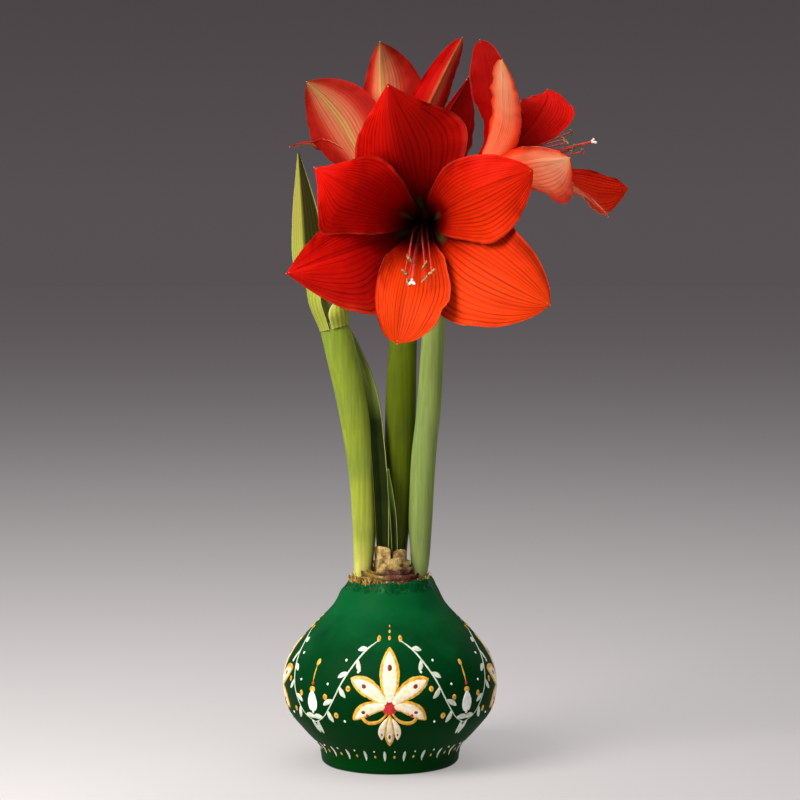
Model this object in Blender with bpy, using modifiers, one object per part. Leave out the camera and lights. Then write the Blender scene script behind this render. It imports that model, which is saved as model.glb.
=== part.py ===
"""A waxed amaryllis bulb: a bulb dipped in wax, with three flower stems, two young leaves and three blooms.

Millimetres are used for every named size below, and each mesh is scaled to metres as it is made.
The origin is the middle of the flat wax foot, +Z is up, and the open face of the front bloom looks along -Y.
"""

import math
from collections import namedtuple

import bmesh
import bpy
from mathutils import Matrix, Vector

MM = 0.001
GAP = 0.3

# Wax coat: (height, radius) of its outer side, from the rim down to the foot
WAX_OUTLINE = [
    (103.5, 23.8),
    (97.7, 27.5),
    (89.0, 32.4),
    (77.5, 43.2),
    (64.9, 53.8),
    (53.0, 59.2),
    (41.5, 60.0),
    (30.4, 57.2),
    (19.0, 48.2),
    (11.0, 40.8),
    (6.0, 39.2),
    (2.6, 38.8),
]
FOOT_RADIUS = 36.2
WAX_THICKNESS = 2.0
WAX_SIDES = 32
RIM_BAND = 7.0
RIM_RISE = 1.5
RIM_WAVES = ((7, 0.45, 0.6), (13, 0.35, 2.1))

# Bulb inside the wax, with the papery rings of its neck
NECK_RADIUS = 21.3
NECK_RINGS = [(21.2, 103.2), (18.3, 105.2), (15.4, 107.0), (12.8, 108.4)]
RING_WIDTH = 1.5
RING_GROOVE = 2.2
RING_WAVES = ((5, 0.7, 0.4), (11, 0.5, 1.7))
BULB_SIDES = 20
COAT_CLEARANCE = 0.8

# Stub of cut leaf bases in the middle of the neck
STUB_CENTRE = (1.0, 1.4)
STUB_RADII = (9.9, 10.6)
STUB_TOP = 119.5
SCALE_THICKNESS = 1.5
SCALES = [
    # first angle, last angle, distance outside the stub, top
    (-172, -92, 0.2, 123.0),
    (-88, -20, 0.3, 121.8),
    (-158, -24, 1.7, 116.6),
    (-130, -58, 3.1, 112.5),
    (35, 148, 0.4, 121.0),
]

# Flower stems: points of the middle line with the radius there
SOCKET_BOTTOM = 90.0
STEM_FLATNESS = 0.9
LEFT_STEM = [
    ((-14.9, 0.0, SOCKET_BOTTOM), 5.3),
    ((-14.9, 0.0, 112.0), 5.6),
    ((-14.4, 0.0, 137.0), 6.7),
    ((-16.6, 0.0, 171.0), 7.5),
    ((-21.6, 0.0, 205.0), 8.4),
    ((-28.4, 0.0, 236.0), 8.8),
    ((-31.8, 0.0, 249.0), 8.2),
]
CENTRE_STEM = [
    ((3.4, 5.8, SOCKET_BOTTOM), 4.8),
    ((3.6, 5.6, 118.0), 5.5),
    ((3.8, 6.0, 138.0), 6.7),
    ((4.6, 6.5, 171.0), 7.6),
    ((6.0, 7.0, 205.0), 8.3),
    ((7.6, 7.0, 245.0), 7.6),
    ((9.2, 6.5, 284.0), 7.2),
]
RIGHT_STEM = [
    ((13.0, 0.0, SOCKET_BOTTOM), 4.4),
    ((16.7, 0.0, 112.0), 5.1),
    ((17.4, 0.0, 137.0), 6.3),
    ((19.0, 0.5, 171.0), 6.5),
    ((22.3, 1.0, 205.0), 6.7),
    ((24.4, 2.0, 245.0), 6.5),
    ((27.0, 3.5, 286.0), 6.3),
]
STEMS = {"scape_left": LEFT_STEM, "scape_centre": CENTRE_STEM, "scape_right": RIGHT_STEM}

# Flower stalks: the radius along one up to its seed pod, and the pod under the bloom
STALK_RADII = [2.9, 2.6, 2.5, 2.6, 3.6]
POD_LENGTH = 10.0
POD_RADIUS = 4.9

# Blooms. Each has the place of its foot, the way its mouth faces, the turn of its first tepal,
# and six tepals in order round the mouth, of the outer and the inner whorl in turn.
# point: small for a blunt end, large for a drawn-out one. lean: how much wider the second edge is than
# the first. bow: how far the tepal runs forward before it bends back. cup: its curve across the end.
# fold: how far its halves stand in front of the midrib. twist: its turn in degrees up to the tip.
RECEPTACLE_RADIUS = 6.9
RECEPTACLE_LENGTH = 7.0
TEPAL_THICKNESS = 0.8
TEPAL_TIP_HALF = 0.8
TEPAL_SWELL = 1.15
TEPAL_ROWS = 9
TEPAL_COLUMNS = 6
RUFFLE_WAVES = 2.2
THROAT_DISTANCE = 38.0
SPREAD_SHARE = 0.46
# A whorl is its radius at the foot, its radius in the throat, its lead over the other whorl
# and the share of the ring that one tepal may fill
OUTER_WHORL = (6.1, 9.6, 0.0, 1.06)
INNER_WHORL = (4.6, 6.4, 5.0, 0.86)
Tepal = namedtuple("Tepal", "tip half_width point lean bow cup fold twist ruffle phase")
BLOOMS = {
    "front": {
        "foot": (20.3, -22.7, 302.6),
        "axis": (-0.122, -0.991, 0.044),
        "roll": 88,
        "tepals": [
            Tepal((-0.7, -98.0, 378.0), 32, 1.10, -0.15, 6, -0.3, -0.40, 0, 0.05, 0.0),
            Tepal((-39.0, -92.0, 334.5), 30, 0.85, 0.20, 12, -0.2, -0.16, 0, 0.08, 1.0),
            Tepal((-54.0, -91.0, 279.0), 32, 0.75, 0.25, 4, 0.2, 0.05, 0, 0.08, 2.0),
            Tepal((4.1, -104.0, 243.0), 20, 0.55, 0.1, -4, 0.3, 0.10, 0, 0.12, 0.5),
            Tepal((83.5, -110.0, 263.5), 31, 0.62, -0.1, 6, 0.2, 0.05, 0, 0.07, 2.8),
            Tepal((74.5, -108.0, 333.3), 25, 0.65, -0.2, 10, -0.2, -0.10, 0, 0.10, 4.0),
        ],
        "stigma": (12.0, -111.0, 276.0),
    },
    "left": {
        "foot": (-1.0, 14.0, 310.0),
        "axis": (-0.06, 0.87, 0.48),
        "roll": 30,
        "tepals": [
            Tepal((-48.2, 72.0, 383.3), 24, 0.95, 0.25, 4, 0.2, 0.10, 0, 0.05, 1.0),
            Tepal((-5.9, 75.0, 406.4), 20, 0.95, 0.4, 4, 0.2, 0.10, 0, 0.05, 0.0),
            Tepal((41.5, 72.0, 408.6), 10, 0.60, 0.0, 4, 0.5, 0.20, 0, 0.05, 4.0),
            Tepal((45.0, 62.0, 385.9), 26, 0.95, 0.75, 4, 0.2, 0.05, 0, 0.07, 2.8),
            Tepal((6.0, 98.0, 298.0), 27, 0.80, 0.0, 6, 0.1, 0.05, 0, 0.08, 0.5),
            Tepal((-58.5, 82.0, 345.9), 8, 0.90, 0.0, 14, 0.0, 0.05, 0, 0.08, 2.0),
        ],
        "stigma": (-6.0, 104.0, 340.0),
    },
    "right": {
        "foot": (38.0, 12.0, 322.0),
        "axis": (0.80, 0.40, 0.44),
        "roll": 62,
        "tepals": [
            Tepal((50.9, 36.0, 406.0), 13, 0.55, 0.0, -10, 0.0, 0.05, 40, 0.05, 0.0),
            Tepal((61.2, -30.0, 392.5), 13, 0.60, 0.0, -4, 0.8, 0.05, 0, 0.05, 1.0),
            Tepal((97.4, -45.0, 339.5), 20, 0.80, 0.60, 0, 0.3, 0.05, 0, 0.05, 2.0),
            Tepal((121.3, 0.0, 306.8), 13, 0.80, 0.0, -4, 0.1, 0.05, 0, 0.08, 0.5),
            Tepal((137.1, 60.0, 322.2), 21, 0.90, -0.35, -18, 0.1, 0.05, 40, 0.07, 2.8),
            Tepal((89.0, 70.0, 379.0), 26, 1.05, 0.0, -14, 0.2, 0.05, -85, 0.05, 4.0),
        ],
        "stigma": (114.2, 30.0, 348.5),
    },
}

# Leaves and sheath valves. Each is its route, the half widths along it, the directions in which its
# two halves leave the midrib, its thickness and its rows.
LEAF_ROWS = 10
SHEATH_ROWS = 6
LEAF_THICKNESS = 1.5
LEAVES = {
    "leaf_long": {
        "route": [(-3.1, -4.0, 104.0), (-3.4, -4.6, 124.0), (-3.7, -4.6, 145.0), (-4.9, -3.6, 165.0),
                  (-6.6, -1.0, 184.0), (-9.0, 2.6, 202.0), (-13.5, 8.6, 220.0), (-21.5, 13.0, 242.0)],
        "half_widths": [2.6, 3.4, 3.9, 4.1, 3.9, 3.8, 3.2, 0.7],
        "halves": ((-0.86, -0.50, 0.0), (0.86, -0.50, 0.0)),
        "socket": (3.4, 2.7, 0.55),
    },
    "leaf_short": {
        "route": [(2.9, -5.6, 104.0), (2.7, -6.4, 121.0), (1.8, -7.4, 140.0), (0.2, -8.0, 155.0),
                  (-1.2, -8.0, 167.0)],
        "half_widths": [1.7, 2.2, 2.4, 1.9, 0.7],
        "halves": ((-0.80, -0.60, 0.0), (0.80, -0.60, 0.0)),
        "socket": (2.3, 2.2, 0.5),
    },
}
SHEATH_THICKNESS = 0.9
CLASP_GAP = 1.3
CLASP_DROP = 4.0
# A sheath valve also has the stem it clasps and the first and last angle of its foot round that stem.
SHEATHS = {
    "sheath_left_outer": {
        "material": "leaf",
        "clasp": ("scape_left", 90, 250),
        "route": [(-39.5, -3.0, 245.0), (-43.0, -7.0, 262.0), (-47.0, -9.5, 284.0), (-48.6, -9.0, 310.0),
                  (-50.6, -6.0, 342.0)],
        "half_widths": [5.0, 10.5, 13.0, 9.5, 0.7],
        "halves": ((-0.50, 0.86, 0.0), (0.97, 0.24, 0.0)),
    },
    "sheath_left_inner": {
        "material": "leaf",
        "clasp": ("scape_left", -98, 78),
        "route": [(-25.5, -6.0, 245.0), (-23.0, -10.0, 258.0), (-20.5, -13.0, 272.0), (-18.5, -14.0, 290.0)],
        "half_widths": [6.0, 8.5, 7.5, 0.7],
        "halves": ((-0.80, 0.60, 0.0), (0.80, 0.60, 0.0)),
    },
    "sheath_centre_near": {
        "material": "dry_sheath",
        "clasp": ("scape_centre", 230, 95),
        "route": [(0.0, 8.0, 280.0), (-4.0, 12.0, 290.0), (-8.0, 16.0, 282.0), (-9.0, 18.0, 262.0)],
        "half_widths": [3.0, 5.0, 4.5, 0.7],
        "halves": ((-0.90, -0.43, 0.0), (0.90, 0.43, 0.0)),
    },
    "sheath_centre_far": {
        "material": "dry_sheath",
        "clasp": ("scape_centre", 85, -45),
        "route": [(13.0, 12.0, 280.0), (13.0, 18.0, 290.0), (12.0, 24.0, 282.0), (11.0, 27.0, 258.0)],
        "half_widths": [3.0, 5.0, 4.5, 0.7],
        "halves": ((-0.90, 0.43, 0.0), (0.90, -0.43, 0.0)),
    },
    "sheath_right_near": {
        "material": "dry_sheath",
        "clasp": ("scape_right", -110, 40),
        "route": [(33.0, 0.0, 282.0), (38.0, -3.0, 291.0), (42.0, -3.0, 281.0), (43.0, -2.0, 262.0)],
        "half_widths": [2.6, 4.4, 4.0, 0.7],
        "halves": ((-0.30, -0.95, 0.0), (0.30, 0.95, 0.0)),
    },
    "sheath_right_far": {
        "material": "dry_sheath",
        "clasp": ("scape_right", 190, 52),
        "route": [(26.0, 9.0, 282.0), (26.0, 14.0, 292.0), (26.0, 20.0, 283.0), (25.0, 23.0, 263.0)],
        "half_widths": [2.6, 4.4, 4.0, 0.7],
        "halves": ((-0.95, 0.30, 0.0), (0.95, -0.30, 0.0)),
    },
}

# Stamens and pistil of each bloom. A filament's end is its place beside the style's end: to the side,
# up, and along the mouth's direction.
RING_OUTER = 3.5
RING_INNER = 1.4
RING_HEIGHT = 1.8
FILAMENT_RADIUS = 0.6
FILAMENT_CIRCLE = 2.5
FILAMENT_ENDS = [(9.0, 4.5, -10.0), (5.0, 8.0, -13.0), (-3.0, 11.5, -11.0),
                 (-5.5, 4.0, -14.0), (-3.2, -1.5, -9.0), (5.0, 0.5, -12.0)]
ANTHER_SIZE = (1.0, 0.8, 3.0)
STYLE_RADIUS = 0.8
THREAD_POINTS = 7
STYLE_FALL = 0.5

COLOURS = {
    "wax": ((0.0, 0.10, 0.03, 1.0), 0.42),
    "bulb": ((0.50, 0.38, 0.14, 1.0), 0.6),
    "stem": ((0.22, 0.30, 0.07, 1.0), 0.4),
    "leaf": ((0.10, 0.20, 0.03, 1.0), 0.4),
    "tepal": ((0.80, 0.02, 0.01, 1.0), 0.45),
    "stamen": ((0.55, 0.05, 0.04, 1.0), 0.5),
    "dry_sheath": ((0.35, 0.22, 0.10, 1.0), 0.7),
}


def clear_scene():
    for existing in list(bpy.data.objects):
        bpy.data.objects.remove(existing, do_unlink=True)


def new_collection(name):
    made = bpy.data.collections.new(name)
    bpy.context.scene.collection.children.link(made)
    return made


def material(name):
    """The plain material of one kind of tissue, made once and shared by its pieces."""
    made = bpy.data.materials.get(name)
    if made is None:
        made = bpy.data.materials.new(name)
        made.use_nodes = True
        colour, roughness = COLOURS[name]
        shader = made.node_tree.nodes["Principled BSDF"]
        shader.inputs["Base Color"].default_value = colour
        shader.inputs["Roughness"].default_value = roughness
        shader.inputs["Metallic"].default_value = 0.0
        made.diffuse_color = colour
    return made


def smooth_step(low, high, value):
    part = min(max((value - low) / (high - low), 0.0), 1.0)
    return part * part * (3.0 - 2.0 * part)


def along(points, share):
    """A point at share 0 to 1 of a smooth curve through points, which are vectors of any length."""
    last = len(points) - 1
    place = min(max(share, 0.0), 1.0) * last
    index = min(int(place), last - 1)
    part = place - index
    before = points[max(index - 1, 0)]
    start = points[index]
    end = points[index + 1]
    after = points[min(index + 2, last)]
    return 0.5 * (
        2.0 * start
        + part * (end - before)
        + part**2 * (2.0 * before - 5.0 * start + 4.0 * end - after)
        + part**3 * (3.0 * start - before - 3.0 * end + after)
    )


def bezier(points, share):
    """A point at share 0 to 1 of the cubic curve that four control points pull."""
    first, second, third, fourth = points
    rest = 1.0 - share
    return (
        rest**3 * first
        + 3.0 * rest**2 * share * second
        + 3.0 * rest * share**2 * third
        + share**3 * fourth
    )


def tangent(curve, share):
    step = 0.01
    return (curve(min(share + step, 1.0)) - curve(max(share - step, 0.0))).normalized()


def link(name, mesh, collection):
    made = bpy.data.objects.new(name, mesh)
    collection.objects.link(made)
    return made


def evaluated(source, name, collection):
    """A plain mesh object with what source shows once its modifiers or its bevel are worked out."""
    bpy.context.view_layer.update()
    graph = bpy.context.evaluated_depsgraph_get()
    mesh = bpy.data.meshes.new_from_object(source.evaluated_get(graph))
    mesh.transform(source.matrix_world)
    work = bmesh.new()
    work.from_mesh(mesh)
    bmesh.ops.remove_doubles(work, verts=work.verts, dist=1e-6)
    bmesh.ops.triangulate(work, faces=work.faces)
    work.to_mesh(mesh)
    work.free()
    bpy.data.objects.remove(source, do_unlink=True)
    return link(name, mesh, collection)


def turned(name, outline, sides, collection, change=None, thickness=0.0):
    """An outline of (height, radius) turned round Z, moved by change and thickened inwards if asked."""
    mesh = bpy.data.meshes.new(name)
    work = bmesh.new()
    points = [work.verts.new((radius * MM, 0.0, height * MM)) for height, radius in outline]
    for first, second in zip(points, points[1:]):
        work.edges.new((first, second))
    work.to_mesh(mesh)
    work.free()
    profile = link(name + "_profile", mesh, collection)
    screw = profile.modifiers.new("turn", "SCREW")
    screw.steps = sides
    screw.render_steps = sides
    screw.use_merge_vertices = True
    screw.merge_threshold = 1e-5
    shape = evaluated(profile, name, collection)
    if change:
        for vertex in shape.data.vertices:
            vertex.co = change(vertex.co / MM) * MM
    if thickness:
        solidify = shape.modifiers.new("thickness", "SOLIDIFY")
        solidify.thickness = thickness * MM
        solidify.offset = -1.0
        shape = evaluated(shape, name, collection)
    return shape


def blade(name, rows, columns, place, thickness, collection):
    """A thin sheet whose point at (share of length, -1 to 1 across) is place(share, across)."""
    mesh = bpy.data.meshes.new(name)
    work = bmesh.new()
    bmesh.ops.create_grid(work, x_segments=columns, y_segments=rows, size=1.0)
    for vertex in work.verts:
        vertex.co = place((vertex.co.y + 1.0) / 2.0, vertex.co.x) * MM
    bmesh.ops.triangulate(work, faces=work.faces, quad_method="ALTERNATE")
    work.to_mesh(mesh)
    work.free()
    sheet = link(name, mesh, collection)
    solidify = sheet.modifiers.new("thickness", "SOLIDIFY")
    solidify.thickness = thickness * MM
    solidify.offset = 0.0
    return evaluated(sheet, name, collection)


def tube(name, route, count, collection, resolution=2, grow=0.0):
    """A round solid along a smooth route of (point, radius), with count points and closed ends."""
    centres = [Vector(point) for point, radius in route]
    radii = [Vector((radius + grow, 0.0, 0.0)) for point, radius in route]
    curve = bpy.data.curves.new(name, "CURVE")
    curve.dimensions = "3D"
    curve.bevel_depth = MM
    curve.bevel_resolution = resolution
    curve.use_fill_caps = True
    spline = curve.splines.new("POLY")
    spline.points.add(count - 1)
    for index, point in enumerate(spline.points):
        share = index / (count - 1)
        point.co = (along(centres, share) * MM).to_4d()
        point.radius = along(radii, share).x
    return evaluated(link(name, curve, collection), name, collection)


def union(target, others_name, collection):
    """Joins every object of the named collection to target in one solid, and removes them."""
    others = bpy.data.collections[others_name]
    boolean = target.modifiers.new("join", "BOOLEAN")
    boolean.operation = "UNION"
    boolean.operand_type = "COLLECTION"
    boolean.collection = others
    boolean.solver = "MANIFOLD"
    name = target.name
    joined = evaluated(target, name, collection)
    for other in list(others.objects):
        bpy.data.objects.remove(other, do_unlink=True)
    return joined


def finish(piece, material_name):
    piece.data.materials.clear()
    piece.data.materials.append(material(material_name))
    piece.data.shade_smooth()
    piece.data.set_sharp_from_angle(angle=math.radians(45))


def wave(angle, waves):
    return sum(height * math.sin(count * angle + shift) for count, height, shift in waves)


def ragged_rim(point):
    """The dipped edge: higher on the right, with small drips and chips all round."""
    angle = math.atan2(point.y, point.x)
    share = smooth_step(WAX_OUTLINE[0][0] - RIM_BAND, WAX_OUTLINE[0][0], point.z)
    rise = RIM_RISE * math.cos(angle) + wave(angle, RIM_WAVES)
    return Vector((point.x, point.y, point.z + share * rise))


def wax_outline(rows):
    points = [Vector(point) for point in WAX_OUTLINE]
    return [tuple(along(points, row / (rows - 1))) for row in range(rows)]


def make_wax_coat(collection):
    outline = wax_outline(14) + [(0.8, FOOT_RADIUS + 1.6), (0.0, FOOT_RADIUS), (0.0, 0.0)]
    return turned("wax_coat", outline, WAX_SIDES, collection, ragged_rim, WAX_THICKNESS)


def inset(outline, depth):
    """The same outline moved inwards along its own normals."""
    moved = []
    for index, point in enumerate(outline):
        before = outline[max(index - 1, 0)]
        after = outline[min(index + 1, len(outline) - 1)]
        run = Vector((after[0] - before[0], after[1] - before[1])).normalized()
        moved.append((point[0] - run.y * depth, point[1] + run.x * depth))
    return moved


def torn_rings(point):
    angle = math.atan2(point.y, point.x)
    radius = math.hypot(point.x, point.y)
    share = smooth_step(NECK_RINGS[0][1] - 2.0, NECK_RINGS[0][1], point.z)
    share *= smooth_step(9.0, 12.0, radius)
    lift = wave(angle + 0.11 * radius, RING_WAVES)
    return Vector((point.x, point.y, point.z + share * lift))


def bulb_outline():
    outline = [(STUB_TOP - 12.0, 0.0), (STUB_TOP - 12.0, 9.5)]
    for radius, top in reversed(NECK_RINGS):
        outline.append((top - RING_GROOVE, radius - RING_WIDTH - 0.6))
        outline.append((top, radius - RING_WIDTH))
        outline.append((top, radius))
    body = inset(wax_outline(11)[1:], WAX_THICKNESS + COAT_CLEARANCE)
    floor = WAX_THICKNESS + GAP
    outline.append((body[0][0] + 1.5, min(body[0][1], NECK_RADIUS)))
    outline += [point for point in body if point[0] > floor + 1.0]
    outline += [(floor, FOOT_RADIUS - WAX_THICKNESS - 1.5), (floor, 0.0)]
    return outline


def stub_point(angle, outside, height):
    return Vector((
        STUB_CENTRE[0] + (STUB_RADII[0] + outside) * math.cos(angle),
        STUB_CENTRE[1] + (STUB_RADII[1] + outside) * math.sin(angle),
        height,
    ))


def make_bulb(collection, cutters):
    bulb = turned("bulb", bulb_outline(), BULB_SIDES, collection, torn_rings)
    extras = new_collection("neck_scales")
    mesh = bpy.data.meshes.new("stub")
    work = bmesh.new()
    bottom = NECK_RINGS[-1][1] - 6.0
    bmesh.ops.create_cone(
        work,
        cap_ends=True,
        segments=18,
        radius1=1.0,
        radius2=0.93,
        depth=STUB_TOP - bottom,
    )
    for vertex in work.verts:
        vertex.co.x = (STUB_CENTRE[0] + vertex.co.x * STUB_RADII[0]) * MM
        vertex.co.y = (STUB_CENTRE[1] + vertex.co.y * STUB_RADII[1]) * MM
        vertex.co.z = (vertex.co.z + (STUB_TOP + bottom) / 2.0) * MM
    work.to_mesh(mesh)
    work.free()
    link("stub", mesh, extras)
    for index, (first, last, outside, top) in enumerate(SCALES):

        def place(share, across, first=first, last=last, outside=outside, top=top):
            angle = math.radians(first + (last - first) * (across + 1.0) / 2.0)
            tip = top - 1.6 * across**4 + 0.6 * math.sin(7.0 * across + first)
            height = bottom + 1.0 + (tip - bottom - 1.0) * share
            return stub_point(angle, outside + 0.5 * share, height)

        blade(f"neck_scale_{index}", 3, 7, place, SCALE_THICKNESS, extras)
    bulb = union(bulb, "neck_scales", collection)
    for cutter in cutters:
        hole = bulb.modifiers.new("socket", "BOOLEAN")
        hole.operation = "DIFFERENCE"
        hole.object = cutter
        hole.solver = "MANIFOLD"
        bulb = evaluated(bulb, "bulb", collection)
    return bulb


def make_stem(name, route, stalks, collection, cutter_collection):
    """A flower stem with its flower stalks, and the socket that it leaves in the bulb."""
    flatten = Matrix.Diagonal((1.0, STEM_FLATNESS, 1.0, 1.0))
    stem = tube(name, route, 15, collection, resolution=4)
    stem.data.transform(flatten)
    extras = new_collection(name + "_stalks")
    for index, stalk in enumerate(stalks):
        tube(f"{name}_stalk_{index}", stalk, 11, extras, resolution=2)
    stem = union(stem, name + "_stalks", collection)
    lower = [(Vector(point) - Vector((0.0, 0.0, GAP if index == 0 else 0.0)), radius)
             for index, (point, radius) in enumerate(route[:3])]
    socket = tube(name + "_socket", lower, 5, cutter_collection, resolution=4, grow=GAP)
    socket.data.transform(flatten)
    socket.hide_render = True
    socket.display_type = "WIRE"
    return stem, socket


def soft_least(first, second):
    """The smaller of two lengths in mm, with the corner between them rounded over about 5 mm."""
    softness = 0.3
    return -math.log(math.exp(-softness * first) + math.exp(-softness * second)) / softness


def bloom_frame(spec):
    axis = Vector(spec["axis"]).normalized()
    level = Vector((0.0, 0.0, 1.0)).cross(axis).normalized()
    return Vector(spec["foot"]), axis, level, axis.cross(level)


def facing(spec):
    """The turn that takes +Z to the way the bloom's mouth faces."""
    foot, axis, level, upright = bloom_frame(spec)
    return Matrix((level, upright, axis)).transposed().to_4x4()


def tepal_place(spec, index, whorl):
    """The surface of one tepal, as a function of the share of its length and the place across."""
    foot, axis, level, upright = bloom_frame(spec)
    tepal = spec["tepals"][index]
    widest = TEPAL_SWELL / (TEPAL_SWELL + tepal.point)
    swell = widest**TEPAL_SWELL * (1.0 - widest) ** tepal.point
    turn = math.radians(spec["roll"] + 60.0 * index)
    radial = (level * math.cos(turn) + upright * math.sin(turn))
    tip = Vector(tepal.tip)
    reach = (tip - foot).dot(axis)
    outwards = tip - foot - axis * reach
    base, throat, lead, fill = whorl
    controls = (
        foot + radial * base,
        foot + axis * THROAT_DISTANCE + radial * throat,
        foot + axis * (reach + tepal.bow + lead) + outwards * SPREAD_SHARE,
        tip,
    )

    def middle(share):
        return bezier(controls, share)

    def place(share, across):
        centre = middle(share)
        forward = tangent(middle, share)
        offset = centre - foot
        out = (offset - axis * offset.dot(axis))
        distance = max(out.length, 1.0)
        side = axis.cross(out.normalized())
        side = (side - forward * side.dot(forward)).normalized()
        side = Matrix.Rotation(math.radians(tepal.twist) * smooth_step(0.2, 1.0, share), 3, forward) @ side
        inner = forward.cross(side)
        full = share**TEPAL_SWELL * (1.0 - share) ** tepal.point / swell
        leaning = 1.0 + tepal.lean * math.copysign(1.0, across)
        wanted = base * (1.0 - share) ** 2 + tepal.half_width * full * leaning
        half = max(soft_least(wanted, fill * distance), TEPAL_TIP_HALF)
        open_share = smooth_step(0.3, 0.85, share)
        bend = ((1.0 - open_share) * 0.9 + open_share * tepal.cup) / distance
        angle = across * half * bend
        if abs(bend) < 1e-4:
            sideways = across * half
            lift = 0.0
        else:
            sideways = math.sin(angle) / bend
            lift = (1.0 - math.cos(angle)) / bend
        lift += tepal.fold * abs(across) * half * open_share
        edge = abs(across) ** 2.5 * smooth_step(0.3, 0.55, share) * (1.0 - smooth_step(0.85, 1.0, share))
        side_shift = 1.3 if across > 0 else 0.0
        beat = math.sin(2.0 * math.pi * RUFFLE_WAVES * share + tepal.phase + side_shift)
        lift += tepal.ruffle * half * edge * beat
        return centre + side * sideways + inner * lift

    return place


def make_bloom(key, spec, collection):
    foot, axis, level, upright = bloom_frame(spec)
    name = "bloom_" + key
    half = RECEPTACLE_LENGTH / 2.0
    outline = [(half, 0.0), (half, RECEPTACLE_RADIUS - 0.6), (half - 0.8, RECEPTACLE_RADIUS),
               (-half, RECEPTACLE_RADIUS - 1.6), (-half, 0.0)]
    heart = turned(name, outline, 18, collection)
    heart.data.transform(Matrix.Translation(foot * MM) @ facing(spec))
    extras = new_collection(name + "_tepals")
    for index in range(6):
        whorl = OUTER_WHORL if index % 2 == 0 else INNER_WHORL
        place = tepal_place(spec, index, whorl)
        blade(f"{name}_tepal_{index}", TEPAL_ROWS, TEPAL_COLUMNS, place, TEPAL_THICKNESS, extras)
    return union(heart, name + "_tepals", collection)


def style_controls(spec, start):
    """The style's curve: out along the axis, then sagging, and up again to its end."""
    foot, axis, level, upright = bloom_frame(spec)
    end = Vector(spec["stigma"])
    reach = (end - foot).dot(axis)
    drop = (end - foot - axis * reach)
    return (
        start,
        foot + axis * reach * 0.42,
        foot + axis * reach * 0.72 + drop * STYLE_FALL,
        end,
    )


def thread(controls, radius):
    """The route of a style or filament, with its points at the same shares on each of them."""
    shares = [index / (THREAD_POINTS - 1) for index in range(THREAD_POINTS)]
    return [(bezier(controls, share), radius) for share in shares]


def make_pistil(key, spec, collection):
    foot, axis, level, upright = bloom_frame(spec)
    start = foot + axis * (RECEPTACLE_LENGTH / 2.0 + GAP)
    controls = style_controls(spec, start)
    route = thread(controls, STYLE_RADIUS)
    name = "pistil_" + key
    style = tube(name, route, THREAD_POINTS, collection, resolution=1)
    extras = new_collection(name + "_stigma")
    forward = (controls[3] - controls[2]).normalized()
    for index in range(3):
        turn = math.radians(120 * index + 90)
        spread = level * math.cos(turn) + upright * math.sin(turn)
        lobe = [(controls[3] - forward * 1.0, 0.7), (controls[3] + forward + spread * 1.2, 0.9),
                (controls[3] + forward * 1.6 + spread * 2.8, 0.6)]
        tube(f"{name}_lobe_{index}", lobe, 3, extras, resolution=0)
    return union(style, name + "_stigma", collection)


def make_stamens(key, spec, collection):
    """Six filaments on a small ring in the tube, each with its anther across its end."""
    foot, axis, level, upright = bloom_frame(spec)
    name = "stamens_" + key
    low = RECEPTACLE_LENGTH / 2.0 + GAP
    outline = [(low + RING_HEIGHT, RING_INNER), (low + RING_HEIGHT, RING_OUTER),
               (low, RING_OUTER), (low, RING_INNER), (low + RING_HEIGHT, RING_INNER)]
    ring = turned(name, outline, 10, collection)
    ring.data.transform(Matrix.Translation(foot * MM) @ facing(spec))
    extras = new_collection(name + "_filaments")
    start = foot + axis * (low + RING_HEIGHT * 0.5)
    style = style_controls(spec, start)
    for index, (sideways, up, forward) in enumerate(FILAMENT_ENDS):
        turn = math.radians(60 * index + 30)
        root = (level * math.cos(turn) + upright * math.sin(turn)) * FILAMENT_CIRCLE
        end = style[3] + level * sideways + upright * up + axis * forward
        controls = (style[0] + root, style[1] + root * 1.3, style[2] + (root + end - style[3]) * 0.6, end)
        route = thread(controls, FILAMENT_RADIUS)
        tube(f"{name}_filament_{index}", route, THREAD_POINTS, extras, resolution=0)
        mesh = bpy.data.meshes.new(f"{name}_anther_{index}")
        work = bmesh.new()
        bmesh.ops.create_uvsphere(work, u_segments=5, v_segments=4, radius=1.0)
        work.to_mesh(mesh)
        work.free()
        across = (level * math.cos(1.1 * index) + upright * 0.8).normalized()
        tilt = across.to_track_quat("Z", "Y").to_matrix().to_4x4()
        size = Matrix.Diagonal((*[side * MM for side in ANTHER_SIZE], 1.0))
        mesh.transform(Matrix.Translation(end * MM) @ tilt @ size)
        link(mesh.name, mesh, extras)
    return union(ring, name + "_filaments", collection)


def folded_place(spec):
    """The surface of a leaf or sheath valve: two halves that bend away from a rounded midrib."""
    route = [Vector(point) for point in spec["route"]]
    widths = [Vector((half, 0.0, 0.0)) for half in spec["half_widths"]]
    halves = [Vector(half).normalized() for half in spec["halves"]]

    def place(share, across):
        half = along(widths, share).x
        soft = math.sqrt(across * across + 0.04) - 0.2
        first = halves[0] * max(-across, 0.0) + halves[1] * max(across, 0.0)
        middle = (halves[0] + halves[1]) * 0.5 * (abs(across) - soft)
        return along(route, share) + (first - middle) * half

    return place


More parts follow.
